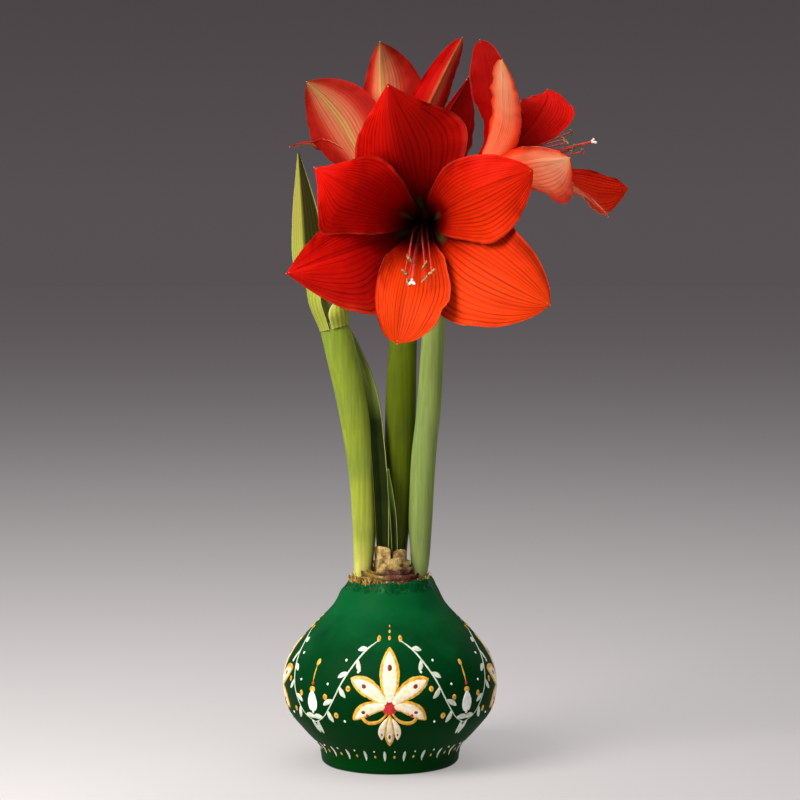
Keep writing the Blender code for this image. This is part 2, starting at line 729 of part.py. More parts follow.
def clasping_place(spec, stems):
    """A sheath valve: folded like a leaf, but with its foot laid round the top of its stem."""
    folded = folded_place(spec)
    name, first, last = spec["clasp"]
    top, radius = stems[name][-1]
    rise = Vector(top) - Vector(stems[name][-2][0])
    upwards = Vector((rise.x, rise.y * STEM_FLATNESS, rise.z)).normalized()
    level = Vector((0.0, 1.0, 0.0)).cross(upwards).normalized()
    back = upwards.cross(level)
    foot = Vector((top[0], top[1] * STEM_FLATNESS, top[2])) - upwards * CLASP_DROP
    corners = [Vector(point) for point in spec["route"]]
    length = sum((far - near).length for near, far in zip(corners, corners[1:]))

    def place(share, across):
        angle = math.radians(first + (last - first) * (across + 1.0) / 2.0)
        distance = radius + CLASP_GAP + 4.0 * share
        round_stem = (level * math.cos(angle) + back * math.sin(angle)) * distance
        loose = smooth_step(0.12, 0.45, share)
        clasped = foot + upwards * share * length + round_stem
        return clasped * (1.0 - loose) + folded(share, across) * loose

    return place


def leaf_socket(name, spec, collection):
    """A plain flattened hole in the neck for a leaf's foot."""
    wide, deep, forward = spec["socket"]
    foot = Vector(spec["route"][0]) + Vector((0.0, -forward, -GAP))
    head = Vector(spec["route"][1]) + Vector((0.0, -forward, 6.0))
    mesh = bpy.data.meshes.new(name)
    work = bmesh.new()
    bmesh.ops.create_cone(work, cap_ends=True, segments=14, radius1=1.0, radius2=1.0, depth=1.0)
    for vertex in work.verts:
        level = foot if vertex.co.z < 0 else head
        vertex.co = (level + Vector((vertex.co.x * wide, vertex.co.y * deep, 0.0))) * MM
    work.to_mesh(mesh)
    work.free()
    socket = link(name, mesh, collection)
    socket.hide_render = True
    socket.display_type = "WIRE"
    return socket


def stalk_to(spec, start, sway):
    """The flower stalk from inside the stem's top to just under the bloom, swelling into the seed pod."""
    foot, axis, level, upright = bloom_frame(spec)
    end = foot - axis * (RECEPTACLE_LENGTH / 2.0 + GAP)
    pod = end - axis * POD_LENGTH
    controls = (start, start + Vector(sway), pod - axis * POD_LENGTH, pod)
    count = len(STALK_RADII) - 1
    route = [(bezier(controls, index / count), radius) for index, radius in enumerate(STALK_RADII)]
    return route + [(pod + axis * POD_LENGTH * 0.5, POD_RADIUS), (end, POD_RADIUS - 0.3)]


clear_scene()
pieces = new_collection("waxed_amaryllis")
cutters = new_collection("cutters")
cutters.hide_render = True

finish(make_wax_coat(pieces), "wax")

sockets = []
for name, key, sway in (
    ("scape_left", "left", (2.0, 1.0, 22.0)),
    ("scape_centre", "front", (1.0, 4.0, 18.0)),
    ("scape_right", "right", (0.0, 0.0, 14.0)),
):
    route = STEMS[name]
    top = Vector(route[-1][0])
    top.y *= STEM_FLATNESS
    stalk = stalk_to(BLOOMS[key], top - Vector((0.0, 0.0, 5.0)), sway)
    stem, socket = make_stem(name, route, [stalk], pieces, cutters)
    finish(stem, "stem")
    sockets.append(socket)

for name, spec in LEAVES.items():
    finish(blade(name, LEAF_ROWS, 4, folded_place(spec), LEAF_THICKNESS, pieces), "leaf")
    sockets.append(leaf_socket(name + "_socket", spec, cutters))

for name, spec in SHEATHS.items():
    sheath = blade(name, SHEATH_ROWS, 6, clasping_place(spec, STEMS), SHEATH_THICKNESS, pieces)
    finish(sheath, spec["material"])

finish(make_bulb(pieces, sockets), "bulb")

for key, spec in BLOOMS.items():
    finish(make_bloom(key, spec, pieces), "tepal")
    finish(make_stamens(key, spec, pieces), "stamen")
    finish(make_pistil(key, spec, pieces), "stamen")
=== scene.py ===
import math
import random
from collections import namedtuple

import bmesh
import bpy
from mathutils import Matrix, Vector, noise


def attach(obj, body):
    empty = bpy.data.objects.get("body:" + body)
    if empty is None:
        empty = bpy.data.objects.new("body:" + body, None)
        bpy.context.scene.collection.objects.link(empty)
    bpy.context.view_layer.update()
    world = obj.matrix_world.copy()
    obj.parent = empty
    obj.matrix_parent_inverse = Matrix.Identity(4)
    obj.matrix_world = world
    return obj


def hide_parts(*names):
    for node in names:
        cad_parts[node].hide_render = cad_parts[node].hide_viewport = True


# The looks of a waxed amaryllis bulb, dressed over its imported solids. Sizes are in millimetres and are
# scaled to metres as each mesh is made. The sections follow the plant as it is put together: wax coat,
# painted ornament, bulb, flower stems, leaves, sheaths, blooms, stamens and pistils, and the studio.
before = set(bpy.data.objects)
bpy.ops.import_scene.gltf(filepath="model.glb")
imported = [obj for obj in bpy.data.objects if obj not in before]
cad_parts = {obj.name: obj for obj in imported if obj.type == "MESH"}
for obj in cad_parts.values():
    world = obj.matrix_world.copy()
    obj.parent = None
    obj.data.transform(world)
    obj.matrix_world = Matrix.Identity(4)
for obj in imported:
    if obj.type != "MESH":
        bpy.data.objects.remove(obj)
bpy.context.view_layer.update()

# The wax coat: the bulb is dipped two or three times in paraffin wax dyed bottle green, and is set down
# while the wax is soft, which gives the flat foot. The last dip stops short of the rim, so that the thin
# first coat shows there as a darker, glossier band that has crazed.
MM = 0.001
MERGE_DISTANCE = 0.001 * MM
SLIVER_LENGTH = 0.0001 * MM
FRONT = -math.pi / 2.0
RIM = 103.5
BELLY_RADIUS = 60.0
WAX_OUTLINE = [
    # height and radius of the outside, from the rim to the foot
    (RIM, 23.8), (97.7, 27.5), (89.0, 32.4), (77.5, 43.2), (64.9, 53.8), (53.0, 59.2),
    (41.5, BELLY_RADIUS), (30.4, 57.2), (19.0, 48.2), (11.0, 40.8), (6.0, 39.2), (2.6, 38.8),
]
FOOT_RADIUS = 36.2
# height and radius of the turn from the side to the middle of the foot
FOOT_ROUNDING = [(1.5, 38.4), (0.8, 37.8), (0.25, 37.0), (0.0, 36.2), (0.0, 18.1), (0.0, 0.0)]
WAX_THICKNESS = 2.0
LIP_THICKNESS = 1.1
RIM_BAND = 7.0
RIM_RISE = 1.5
FRONT_RISE = 1.0
RIM_WAVES = ((7, 0.45, 0.6), (13, 0.35, 2.1))  # how many round the rim, height, shift
LAST_DIP = 99.6
DIP_STEP = 0.45
WAX_ROWS = 110
WAX_COLUMNS = 180


class Shape:
    """Points in millimetres and the faces between them, gathered for one piece."""

    def __init__(self):
        self.points = []
        self.faces = []
        self.kinds = []
        self.places = []

    def sheet(self, rows, around=False, kind=0, lane=0):
        """Adds rows of points. Texture places run 0 to 1 along the sheet and lane to lane + 1 across it."""
        first = len(self.points)
        wide = len(rows[0])
        tall = len(rows) - 1
        across = wide if around else wide - 1
        for row in rows:
            self.points.extend(row)
        for low in range(tall):
            start = first + low * wide
            share, above = low / tall, (low + 1) / tall
            for left in range(across):
                right = (left + 1) % wide
                near, far = lane + left / across, lane + (left + 1) / across
                self.faces.append((start + left, start + right, start + wide + right, start + wide + left))
                self.kinds.append(kind)
                self.places.extend(((share, near), (share, far), (above, far), (above, near)))

    def piece(self, name, materials, slot, *nodes, sharp=60.0):
        """Makes the piece, lets it ride on the plant, and hides the solids that it stands for."""
        mesh = bpy.data.meshes.new(name)
        mesh.from_pydata([tuple(point * MM) for point in self.points], [], self.faces)
        layer = mesh.uv_layers.new(name="lay")
        layer.data.foreach_set("uv", [value for place in self.places for value in place])
        mesh.polygons.foreach_set("material_index", self.kinds)
        work = bmesh.new()
        work.from_mesh(mesh)
        bmesh.ops.remove_doubles(work, verts=work.verts, dist=MERGE_DISTANCE)
        bmesh.ops.dissolve_degenerate(work, edges=work.edges, dist=SLIVER_LENGTH)
        bmesh.ops.recalc_face_normals(work, faces=work.faces)
        work.to_mesh(mesh)
        work.free()
        mesh.shade_smooth()
        mesh.set_sharp_from_angle(angle=math.radians(sharp))
        made = bpy.data.objects.new(name, mesh)
        bpy.context.scene.collection.objects.link(made)
        for surface in materials:
            mesh.materials.append(surface)
        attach(made, "root")
        if nodes:
            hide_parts(*nodes)


def linear(hex_colour):
    """An sRGB colour such as #1A2B3C as the linear colour that a shader reads."""
    values = [int(hex_colour[place:place + 2], 16) / 255.0 for place in (1, 3, 5)]
    turned = [value / 12.92 if value <= 0.04045 else ((value + 0.055) / 1.055) ** 2.4 for value in values]
    return (*turned, 1.0)


def shader_value(value):
    """A colour such as #1A2B3C turned linear, and any other value as it is."""
    return linear(value) if isinstance(value, str) else value


def add(tree, kind, inputs=None, ramp=None, **settings):
    """Adds a node: each input takes a value, a colour or a link, and a ramp its stops."""
    node = tree.nodes.new(kind)
    for key, value in settings.items():
        setattr(node, key, value)
    for key, value in (inputs or {}).items():
        if isinstance(value, bpy.types.NodeSocket):
            tree.links.new(value, node.inputs[key])
        else:
            node.inputs[key].default_value = shader_value(value)
    if ramp:
        stops = node.color_ramp.elements
        while len(stops) < len(ramp):
            stops.new(0.5)
        for stop, (position, colour) in zip(stops, ramp):
            stop.position = position
            stop.color = linear(colour)
    return node


class Look:
    """A material and its nodes: the methods add nodes and give what comes out of them."""

    def __init__(self, name, **constants):
        self.material = bpy.data.materials.new(name)
        self.material.use_nodes = True
        self.tree = self.material.node_tree
        self.shader = self.tree.nodes["Principled BSDF"]
        for key, value in constants.items():
            self.shader.inputs[key.replace("_", " ")].default_value = shader_value(value)
        self.place = self.add("ShaderNodeTexCoord", outlet="Object")

    def add(self, kind, inputs=None, outlet=0, **settings):
        return add(self.tree, kind, inputs, **settings).outputs[outlet]

    def split(self, vector):
        """The x, y and z of a vector."""
        return add(self.tree, "ShaderNodeSeparateXYZ", {0: vector}).outputs

    def lay(self):
        """The place on its sheet of a point: x runs along the sheet and y across it."""
        return self.add("ShaderNodeUVMap", uv_map="lay")

    def drawn(self, vector, scale):
        return self.add("ShaderNodeMapping", {"Vector": vector, "Scale": scale})

    def noise(self, size, detail, rough=0.5, scale=(1.0, 1.0, 1.0)):
        """Soft noise in blobs of a size in mm, which are longer where the scale is below 1."""
        place = self.place if scale == (1.0, 1.0, 1.0) else self.drawn(self.place, scale)
        return self.add("ShaderNodeTexNoise", {
            "Vector": place, "Scale": 1.0 / (size * MM), "Detail": detail, "Roughness": rough})

    def span(self, value, low=0.0, high=1.0, least=0.0, most=1.0):
        """Turns the run of a value from low to high into a run from least to most."""
        return self.add("ShaderNodeMapRange", {
            "Value": value, "From Min": low, "From Max": high, "To Min": least, "To Max": most})

    def maths(self, operation, *values):
        return self.add("ShaderNodeMath", dict(enumerate(values)), operation=operation)

    def product(self, *values):
        """The product of two or more numbers."""
        total = values[0]
        for value in values[1:]:
            total = self.maths("MULTIPLY", total, value)
        return total

    def ramp(self, value, stops):
        return self.add("ShaderNodeValToRGB", {"Fac": value}, ramp=stops)

    def mix(self, share, first, second):
        """A share of the second colour over the first."""
        return self.add("ShaderNodeMix", {0: share, 6: first, 7: second}, outlet=2, data_type="RGBA")

    def tone(self, colour, factor):
        """The colour times a factor or a tint."""
        return self.add("ShaderNodeVectorMath", {0: colour, 1: factor}, operation="MULTIPLY")

    def bump(self, height, strength, depth, over=None):
        """Relief of a depth in mm, laid over another one if given."""
        under = {"Normal": over} if over else {}
        return self.add("ShaderNodeBump", {
            "Height": height, "Strength": strength, "Distance": depth * MM, **under})

    def finish(self, **outlets):
        """Links outlets to the shader's inputs, and gives the material."""
        for key, outlet in outlets.items():
            self.tree.links.new(outlet, self.shader.inputs[key.replace("_", " ")])
        return self.material


def shares(count):
    """Even steps from 0 to 1."""
    return [step / count for step in range(count + 1)]


def turns(count):
    """The angles of even steps round a circle."""
    return [math.tau * step / count for step in range(count)]


def polar(angle, radius, height=0.0):
    """A point at an angle and radius round the upright axis."""
    return Vector((radius * math.cos(angle), radius * math.sin(angle), height))


def smooth_step(low, high, value):
    """0 below low, 1 above high, and a smooth rise between them."""
    part = min(max((value - low) / (high - low), 0.0), 1.0)
    return part * part * (3.0 - 2.0 * part)


def along(points, share):
    """A point at share 0 to 1 of a smooth curve through points, which are vectors or plain numbers."""
    last = len(points) - 1
    place = min(max(share, 0.0), 1.0) * last
    index = min(int(place), last - 1)
    part = place - index
    before, start = points[max(index - 1, 0)], points[index]
    end, after = points[index + 1], points[min(index + 2, last)]
    return 0.5 * (
        2.0 * start
        + part * (end - before)
        + part**2 * (2.0 * before - 5.0 * start + 4.0 * end - after)
        + part**3 * (3.0 * start - before - 3.0 * end + after)
    )


def curve(points):
    """The smooth curve through points, as a function of the share of its length."""
    return lambda share: along(points, share)


def wobble(angle, height, size, depth):
    """A soft unevenness of a size and depth in mm, repeating round the bulb without a seam."""
    return depth * noise.noise(polar(angle, BELLY_RADIUS / size, height / size))


WAX_POINTS = [Vector(point) for point in WAX_OUTLINE]
WAX_STEPS = [along(WAX_POINTS, share) for share in shares(400)]


def wax_radius(height):
    """The outside radius of the coat at a height, read from its outline."""
    for upper, lower in zip(WAX_STEPS, WAX_STEPS[1:]):
        if lower.x <= height:
            part = (upper.x - height) / max(upper.x - lower.x, 1e-6)
            return upper.y + (lower.y - upper.y) * min(max(part, 0.0), 1.0)
    return WAX_STEPS[-1].y


def dip_edge(angle):
    """The height at which the last dip ends."""
    return LAST_DIP + wobble(angle, 3.0, 14.0, 1.6) + wobble(angle, 9.0, 5.0, 0.7)


def wax_place(angle, height, radius):
    """A point of the outside of the wax, with its soft dents, its last dip and its ragged rim."""
    above = smooth_step(-0.4, 0.4, height - dip_edge(angle))
    radius += wobble(angle, height, 26.0, 0.45) - DIP_STEP * above
    radius += above * (wobble(angle, height, 3.0, 0.4) + wobble(angle, height * 0.2, 1.3, 0.3))
    share = smooth_step(RIM - RIM_BAND, RIM, height)
    rise = RIM_RISE * math.cos(angle) - FRONT_RISE * math.sin(angle)
    rise += sum(tall * math.sin(count * angle + shift) for count, tall, shift in RIM_WAVES)
    chips = wobble(angle, 40.0, 2.0, 1.2) * smooth_step(RIM - 3.0, RIM, height)
    return polar(angle, radius, height + share * rise + chips)


def make_wax_coat(surface):
    """The coat's outside, its lip, and its inside with a flat floor."""
    angles = turns(WAX_COLUMNS)
    outside = [along(WAX_POINTS, share) for share in shares(WAX_ROWS)]
    rows = [[wax_place(angle, point.x, point.y) for angle in angles] for point in outside]
    rows += [[polar(angle, radius, height) for angle in angles] for height, radius in FOOT_ROUNDING]
    lip = [point - polar(angle, LIP_THICKNESS, 0.15) for point, angle in zip(rows[0], angles)]
    inside = [(point.x, point.y - WAX_THICKNESS - 0.2) for point in outside[4::4]]
    inside += [(WAX_THICKNESS, FOOT_RADIUS - WAX_THICKNESS), (WAX_THICKNESS, 0.0)]
    shape = Shape()
    shape.sheet(rows, around=True)
    shape.sheet([rows[0], lip], around=True)
    shape.sheet([lip] + [[polar(angle, radius, height) for angle in angles] for height, radius in inside],
                around=True)
    shape.piece("dipped_wax_coat", [surface], "wax", "wax_coat", sharp=70.0)


def dyed_paraffin():
    """Paraffin wax dyed bottle green: a soft satin skin, faintly clouded, that lets light in a little.

    Above the last dip it turns into the thin first coat, which is darker, glossier and crazed.
    """
    look = Look("dyed paraffin wax", IOR=1.44, Specular_IOR_Level=0.03, Subsurface_Weight=0.05,
                Subsurface_Scale=0.004, Subsurface_Radius=(0.2, 1.0, 0.4))
    height = look.split(look.place)["Z"]
    cloud = look.noise(16, 4.0, rough=0.6)
    drifted = look.maths("ADD", height, look.product(cloud, 45 * MM))
    # The green is painted darker low on the belly, as painted shade, and lighter towards the shoulder and
    # rim, as painted light.
    tint = look.ramp(look.span(drifted, 30 * MM, 118 * MM),
                     [(0.05, "#00340B"), (0.42, "#00300F"), (0.68, "#003A18"), (0.95, "#045226")])
    ragged = look.maths("ADD", height, look.product(look.noise(7, 2.0), 4 * MM))
    first_coat = look.span(ragged, 100.8 * MM, 102.2 * MM)
    cells = look.add("ShaderNodeTexVoronoi", {
        "Vector": look.drawn(look.place, (1.0, 1.0, 0.3)), "Scale": 1.0 / (3.4 * MM),
    }, outlet="Distance", feature="DISTANCE_TO_EDGE")
    crazed = look.mix(look.span(cells, 0.0, 0.035, 1.0, 0.0), "#023A18", "#1C6A3A")
    satin = look.span(cloud, 0.0, 1.0, 0.44, 0.58)
    grain = look.bump(look.noise(1.6, 3.0), 0.25, 0.1)
    return look.finish(
        Base_Color=look.mix(look.product(first_coat, 0.8), tint, crazed),
        Roughness=look.add("ShaderNodeMix", {0: first_coat, 2: satin, 3: 0.28}),
        Normal=look.bump(look.product(cells, first_coat), 0.6, 0.4, over=grain))


make_wax_coat(dyed_paraffin())

# The painted ornament: acrylic paint laid on the set wax with a fine round brush, stroke over stroke, so
# each stroke stands a little proud. It is a plain folk ornament of upright palmettes and hanging garlands,
# repeated four times round the belly.
PAINT_REPEATS = 4
FOOT_BAND_STEPS = 12
PAINT_SUNK = 0.06
STROKE_STEPS = 18
STROKE_COLUMNS = (-1.0, -0.75, -0.35, 0.0, 0.35, 0.75, 1.0)
DOT_RINGS = (0.0, 0.35, 0.7, 0.92, 1.0)
DOT_SIDES = 16
PAINTS = {
    # paint: its two tints, and how far its strokes stand proud of the wax
    "sage": ("#BCC9B2", "#DCE4D2", 0.16),
    "gold": ("#C98A12", "#EBBB3C", 0.20),
    "cream": ("#EBD9AE", "#FBF1DA", 0.30),
    "white": ("#E6E6DC", "#FFFFFB", 0.32),
    "scarlet": ("#B00F12", "#D3221B", 0.38),
    "crimson": ("#5E0A14", "#86121E", 0.42),
}
brush = random.Random(11)
strokes = {paint: Shape() for paint in PAINTS}


def on_wax(turn, across, height, lift):
    """The place on the wax of a point of the ornament: across in mm round the belly, height in mm."""
    angle = FRONT + turn + across / BELLY_RADIUS
    slope = wax_radius(height + 0.5) - wax_radius(height - 0.5)
    return wax_place(angle, height, wax_radius(height)) + polar(angle, 1.0, -slope).normalized() * lift


def on_wax_below(point):
    """The same point a little inside the wax, for the hidden underside of a stroke."""
    return point - Vector((point.x, point.y, 0.0)).normalized() * 0.25


def tangent(route, share, step=0.01):
    """The direction in which a route runs on at a share of its length."""
    return (route(min(share + step, 1.0)) - route(max(share - step, 0.0))).normalized()


def paint_stroke(paint, turn, route, half_width, belly=0.5, taper=0.08):
    """One brush stroke along a route of (across, height), widest at share belly and tapering at its ends."""
    points = [Vector(point) for point in route]
    thick = PAINTS[paint][2] + PAINT_SUNK
    rows = []
    for share in shares(STROKE_STEPS):
        ahead = tangent(curve(points), share, 0.02)
        swell = min(share / belly, (1.0 - share) / (1.0 - belly))
        half = half_width * max(math.sin(swell * math.pi / 2.0) ** 0.8, taper)
        half *= 1.0 + brush.uniform(-0.04, 0.04)
        row = []
        for column in STROKE_COLUMNS:
            flat = along(points, share) + Vector((-ahead.y, ahead.x)) * half * column
            row.append(on_wax(turn, flat.x, flat.y, thick * (1.0 - column**4) - PAINT_SUNK))
        rows.append(row)
    near, far = [row[0] for row in rows], [row[-1] for row in rows]
    near_foot, far_foot = ([on_wax_below(point) for point in edge] for edge in (near, far))
    for side in (rows, (near_foot, far_foot), (near, near_foot), (far, far_foot)):
        strokes[paint].sheet(side)
    for end in (0, -1):
        bottom = [near_foot[end].lerp(far_foot[end], share) for share in shares(len(STROKE_COLUMNS) - 1)]
        strokes[paint].sheet([rows[end], bottom])


def paint_dot(paint, turn, across, height, radius, tall=1.0, tilt=0.0):
    """A dab of the brush: a low dome, stretched along its own length if asked."""
    thick = PAINTS[paint][2] + 2.0 * PAINT_SUNK
    wide = radius * brush.uniform(0.93, 1.07)
    rows = []
    for ring in DOT_RINGS:
        row = []
        for angle in turns(DOT_SIDES):
            x, y = wide * ring * math.cos(angle), wide * ring * tall * math.sin(angle)
            flat_x = x * math.cos(tilt) - y * math.sin(tilt)
            flat_y = x * math.sin(tilt) + y * math.cos(tilt)
            row.append(on_wax(turn, across + flat_x, height + flat_y, thick * (1.0 - ring**3) - PAINT_SUNK))
        rows.append(row)
    rows.append([on_wax_below(point) for point in rows[-1]])
    rows.append([on_wax_below(rows[0][0])] * DOT_SIDES)
    strokes[paint].sheet(rows, around=True)


def petal_route(base, angle, length, bend):
    """A curved line from base, leaving at an angle from upright and bending outwards."""
    return [(base[0] + length * share * math.sin(angle + bend * share),
             base[1] + length * share * math.cos(angle + bend * share)) for share in shares(3)]


def paint_petal(turn, base, angle, length, half_width, bend):
    """A cream petal with a gold edge and a crimson eye."""
    route = petal_route(base, angle, length, bend)
    paint_stroke("gold", turn, route, half_width, belly=0.62)
    inner = [Vector(route[0]).lerp(Vector(point), 0.93) for point in route]
    paint_stroke("cream", turn, inner, half_width * 0.78, belly=0.62)
    eye = inner[2].lerp(inner[3], 0.18)
    paint_dot("crimson", turn, eye.x, eye.y, half_width * 0.30, 1.25, -angle - bend * 0.7)


def paint_palmette(turn):
    """The upright ornament: five petals over a scarlet heart, two gold scrolls, and a drop below."""
    for angle, length, half_width, bend in ((-76, 22, 4.3, -34), (76, 22, 4.3, 34), (-40, 27, 5.3, -16),
                                            (40, 27, 5.3, 16), (0, 31, 6.4, 0)):
        paint_petal(turn, (0.0, 42.0), math.radians(angle), length, half_width, math.radians(bend))
    for side in (-1.0, 1.0):
        scroll = ((0.0, 41.0), (5.0, 34.5), (12.0, 33.0), (15.5, 37.0), (12.5, 40.0), (10.0, 38.0))
        paint_stroke("gold", turn, [(side * across, height) for across, height in scroll], 1.15, belly=0.35)
        paint_dot("scarlet", turn, side * 12.3, 37.4, 1.1)
        drop = ((1.5, 36.0), (4.6, 29.0), (5.0, 22.5))
        paint_stroke("cream", turn, [(side * across, height) for across, height in drop], 2.0, belly=0.62)
        paint_dot("crimson", turn, side * 4.75, 26.0, 0.7, 1.8)
    paint_stroke("gold", turn, [(0.0, 38.0), (0.0, 30.0), (0.0, 18.5)], 3.3, belly=0.66)
    paint_stroke("cream", turn, [(0.0, 36.0), (0.0, 29.0), (0.0, 20.5)], 2.3, belly=0.66)
    for paint, height, radius, tall in (
        ("crimson", 24.6, 1.0, 2.0), ("scarlet", 42.0, 4.1, 1.1), ("gold", 42.0, 1.9, 1.1),
        ("crimson", 42.2, 0.9, 1.1), ("gold", 77.5, 1.15, 1.0), ("gold", 80.6, 0.9, 1.0),
        ("gold", 83.2, 0.65, 1.0),
    ):
        paint_dot(paint, turn, 0.0, height, radius, tall)


def paint_garland(turn, side):
    """Half a leafy garland: it hangs from beside a palmette's tip down to the middle between two."""
    stem = ((8.5, 76.0), (17.0, 70.5), (25.5, 58.5), (32.5, 44.5), (39.5, 34.5), (47.1, 30.5))
    points = [Vector((side * across, height)) for across, height in stem]
    paint_stroke("sage", turn, points, 0.62, belly=0.2, taper=0.4)
    for step, share in enumerate((0.16, 0.27, 0.38, 0.49, 0.60, 0.71, 0.82, 0.92)):
        place = along(points, share)
        ahead = along(points, share + 0.02) - place
        angle = math.atan2(ahead.x, ahead.y) + (0.8 if step % 2 else -0.8) * side
        length = 6.0 + 2.2 * share + brush.uniform(-0.5, 0.5)
        leaf = petal_route(place, angle, length, math.copysign(0.25, angle))
        paint_stroke("sage", turn, leaf, 1.3 + 0.45 * share, belly=0.55)
    for across, height in ((8.0, 77.2), (23.5, 51.5), (37.8, 45.8), (31.0, 36.0)):
        paint_dot("gold", turn, side * across, height, 1.5, 1.15)
        paint_dot("scarlet", turn, side * across, height, 0.63)
    for across, height in ((18.5, 60.5), (27.5, 66.0), (36.5, 53.0), (26.0, 33.0)):
        paint_dot("white", turn, side * across, height, 0.75)


def paint_bell(turn):
    """The hanging bell between two palmettes: white strokes spread under a gold cap, on a red bead."""
    middle = BELLY_RADIUS * math.pi / PAINT_REPEATS
    for angle, length, half_width in ((-28, 11.5, 1.7), (28, 11.5, 1.7), (0, 13.0, 1.9)):
        route = petal_route((middle, 48.5), math.radians(180 + angle), length, math.radians(-angle * 0.7))
        paint_stroke("white", turn, route, half_width, belly=0.66)
    paint_dot("gold", turn, middle, 49.0, 2.3, 0.8)
    paint_dot("scarlet", turn, middle, 52.4, 1.1)
    paint_stroke("gold", turn, [(middle, 53.5), (middle, 57.5), (middle, 62.0)], 0.5, taper=0.4)
    paint_dot("gold", turn, middle, 63.5, 1.5, 1.2)


def paint_foot_band(turn):
    """A band of short upright strokes and beads round the foot."""
    quarter = BELLY_RADIUS * math.tau / PAINT_REPEATS
    for step in range(FOOT_BAND_STEPS):
        across = quarter * (step + 0.5) / FOOT_BAND_STEPS - quarter / 2.0
        if step % 2:
            paint_stroke("sage", turn, [(across, 8.0), (across, 11.0), (across, 14.5)], 1.3, belly=0.6)
        else:
            paint_dot("gold", turn, across, 10.6, 1.0)
            paint_dot("white", turn, across, 14.2, 0.6)


def brushed_acrylic(name, dark, light):
    """Acrylic paint from a fine brush: opaque and slightly glossy, streaked and thinner here and there."""
    look = Look(name, IOR=1.49, Roughness=0.42)
    streak = look.noise(2.2, 4.0)
    return look.finish(Base_Color=look.ramp(streak, [(0.36, dark), (0.62, light)]),
                       Normal=look.bump(streak, 0.35, 0.12))


for quarter_turn in turns(PAINT_REPEATS):
    for half in (-1.0, 1.0):
        paint_garland(quarter_turn, half)
    paint_palmette(quarter_turn)
    paint_bell(quarter_turn)
    paint_foot_band(quarter_turn)
for paint, (dark, light, _) in PAINTS.items():
    strokes[paint].piece(f"{paint}_paint", [brushed_acrylic(f"{paint} acrylic paint", dark, light)], "wax")

# The bulb: layers of fleshy scales wrapped in papery brown tunics. Above the wax show the torn edges of
# the tunics, ring in ring, and the pale stub where last year's leaves were cut off.
NECK_RINGS = [
    # radius, top, lean outwards, height of its waves
    (21.2, 103.9, 0.8, 0.9),
    (19.7, 106.3, 0.5, 0.8),
    (18.1, 105.4, -0.2, 1.0),
    (16.4, 108.4, 0.9, 0.9),
    (14.9, 107.6, 0.2, 1.1),
    (13.2, 110.4, 0.5, 1.2),
]
RING_FLOOR = 97.0
RING_THICKNESS = 0.7
RING_COLUMNS = 150
RING_ROWS = 8
BODY_SIDES = 72
BODY_SHOULDER = [(108.0, 0.0), (108.0, 11.5), (105.2, 13.0), (104.6, 15.8), (103.4, 18.6), (101.5, 20.3)]
STUB_CENTRE = (1.0, 1.4)
STUB_RADII = (9.0, 10.2)
STUB_TOP = 119.5
STUB_BOTTOM = 102.0
CORE_INSET = 0.9
CORE_SIDES = 48
CORE_OUTLINE = [
    # share of the oval and height, up the core's side and in over its cut face
    (1.0, STUB_BOTTOM), (1.0, STUB_TOP - 3.0), (0.985, STUB_TOP - 0.8), (0.94, STUB_TOP),
    (0.86, STUB_TOP - 0.5), (0.84, STUB_TOP + 0.2), (0.7, STUB_TOP - 0.3), (0.68, STUB_TOP + 0.3),
    (0.5, STUB_TOP - 0.2), (0.48, STUB_TOP + 0.4), (0.25, STUB_TOP), (0.0, STUB_TOP + 0.1),
]
SCALE_THICKNESS = 1.5
SCALES = [
    # first angle, last angle, distance outside the stub, top
    (-160, -94, 0.2, 123.0),
    (-86, -36, 0.3, 121.4),
    (-152, -30, 1.7, 116.6),
    (-130, -58, 3.1, 112.5),
    (35, 148, 0.4, 121.0),
]
FRINGE_COUNT = 240


def thickened(shape, rows, thickness, kinds=(0, 0), relief=None, lane=0):
    """Adds a sheet as a solid: thickness(share, across) is laid half to each side along the normals."""
    tall, wide = len(rows) - 1, len(rows[0]) - 1
    front = []
    back = []
    for low, row in enumerate(rows):
        pairs = []
        for left, point in enumerate(row):
            forward = rows[min(low + 1, tall)][left] - rows[max(low - 1, 0)][left]
            side = row[min(left + 1, wide)] - row[max(left - 1, 0)]
            normal = forward.cross(side).normalized()
            share, across = low / tall, 2.0 * left / wide - 1.0
            half = thickness(share, across) / 2.0
            raised = relief(share, across, point) if relief else 0.0
            pairs.append((point + normal * (half + raised), point - normal * (half - raised)))
        front.append([pair[0] for pair in pairs])
        back.append([pair[1] for pair in pairs])
    shape.sheet(front, kind=kinds[0], lane=lane)
    edges = [[front[place], back[place]] for place in (0, -1)]
    edges += [[[row[place] for row in front], [row[place] for row in back]] for place in (0, -1)]
    for sheet in (back, *edges):
        shape.sheet(sheet, kind=kinds[1], lane=lane)


def ring_shape(shape, radius, top, lean, depth, seed):
    """One torn papery tunic: a thin standing ring whose upper edge rises and falls."""
    outer = []
    inner = []
    for share in shares(RING_ROWS):
        places = []
        for angle in turns(RING_COLUMNS):
            edge = top + wobble(angle, seed, 60.0, depth * 2.4) + wobble(angle, seed, 16.0, depth * 0.5)
            height = RING_FLOOR + (edge - RING_FLOOR) * share
            wavy = wobble(angle, seed + 0.2 * height, 40.0, 1.3) * share
            places.append((angle, radius + lean * share**2 + wavy, height))
        thick = RING_THICKNESS * (1.0 - 0.6 * share)
        outer.append([polar(*place) for place in places])
        inner.append([polar(angle, distance - thick, height) for angle, distance, height in places])
    shape.sheet(outer + inner[::-1] + [outer[0]], around=True)


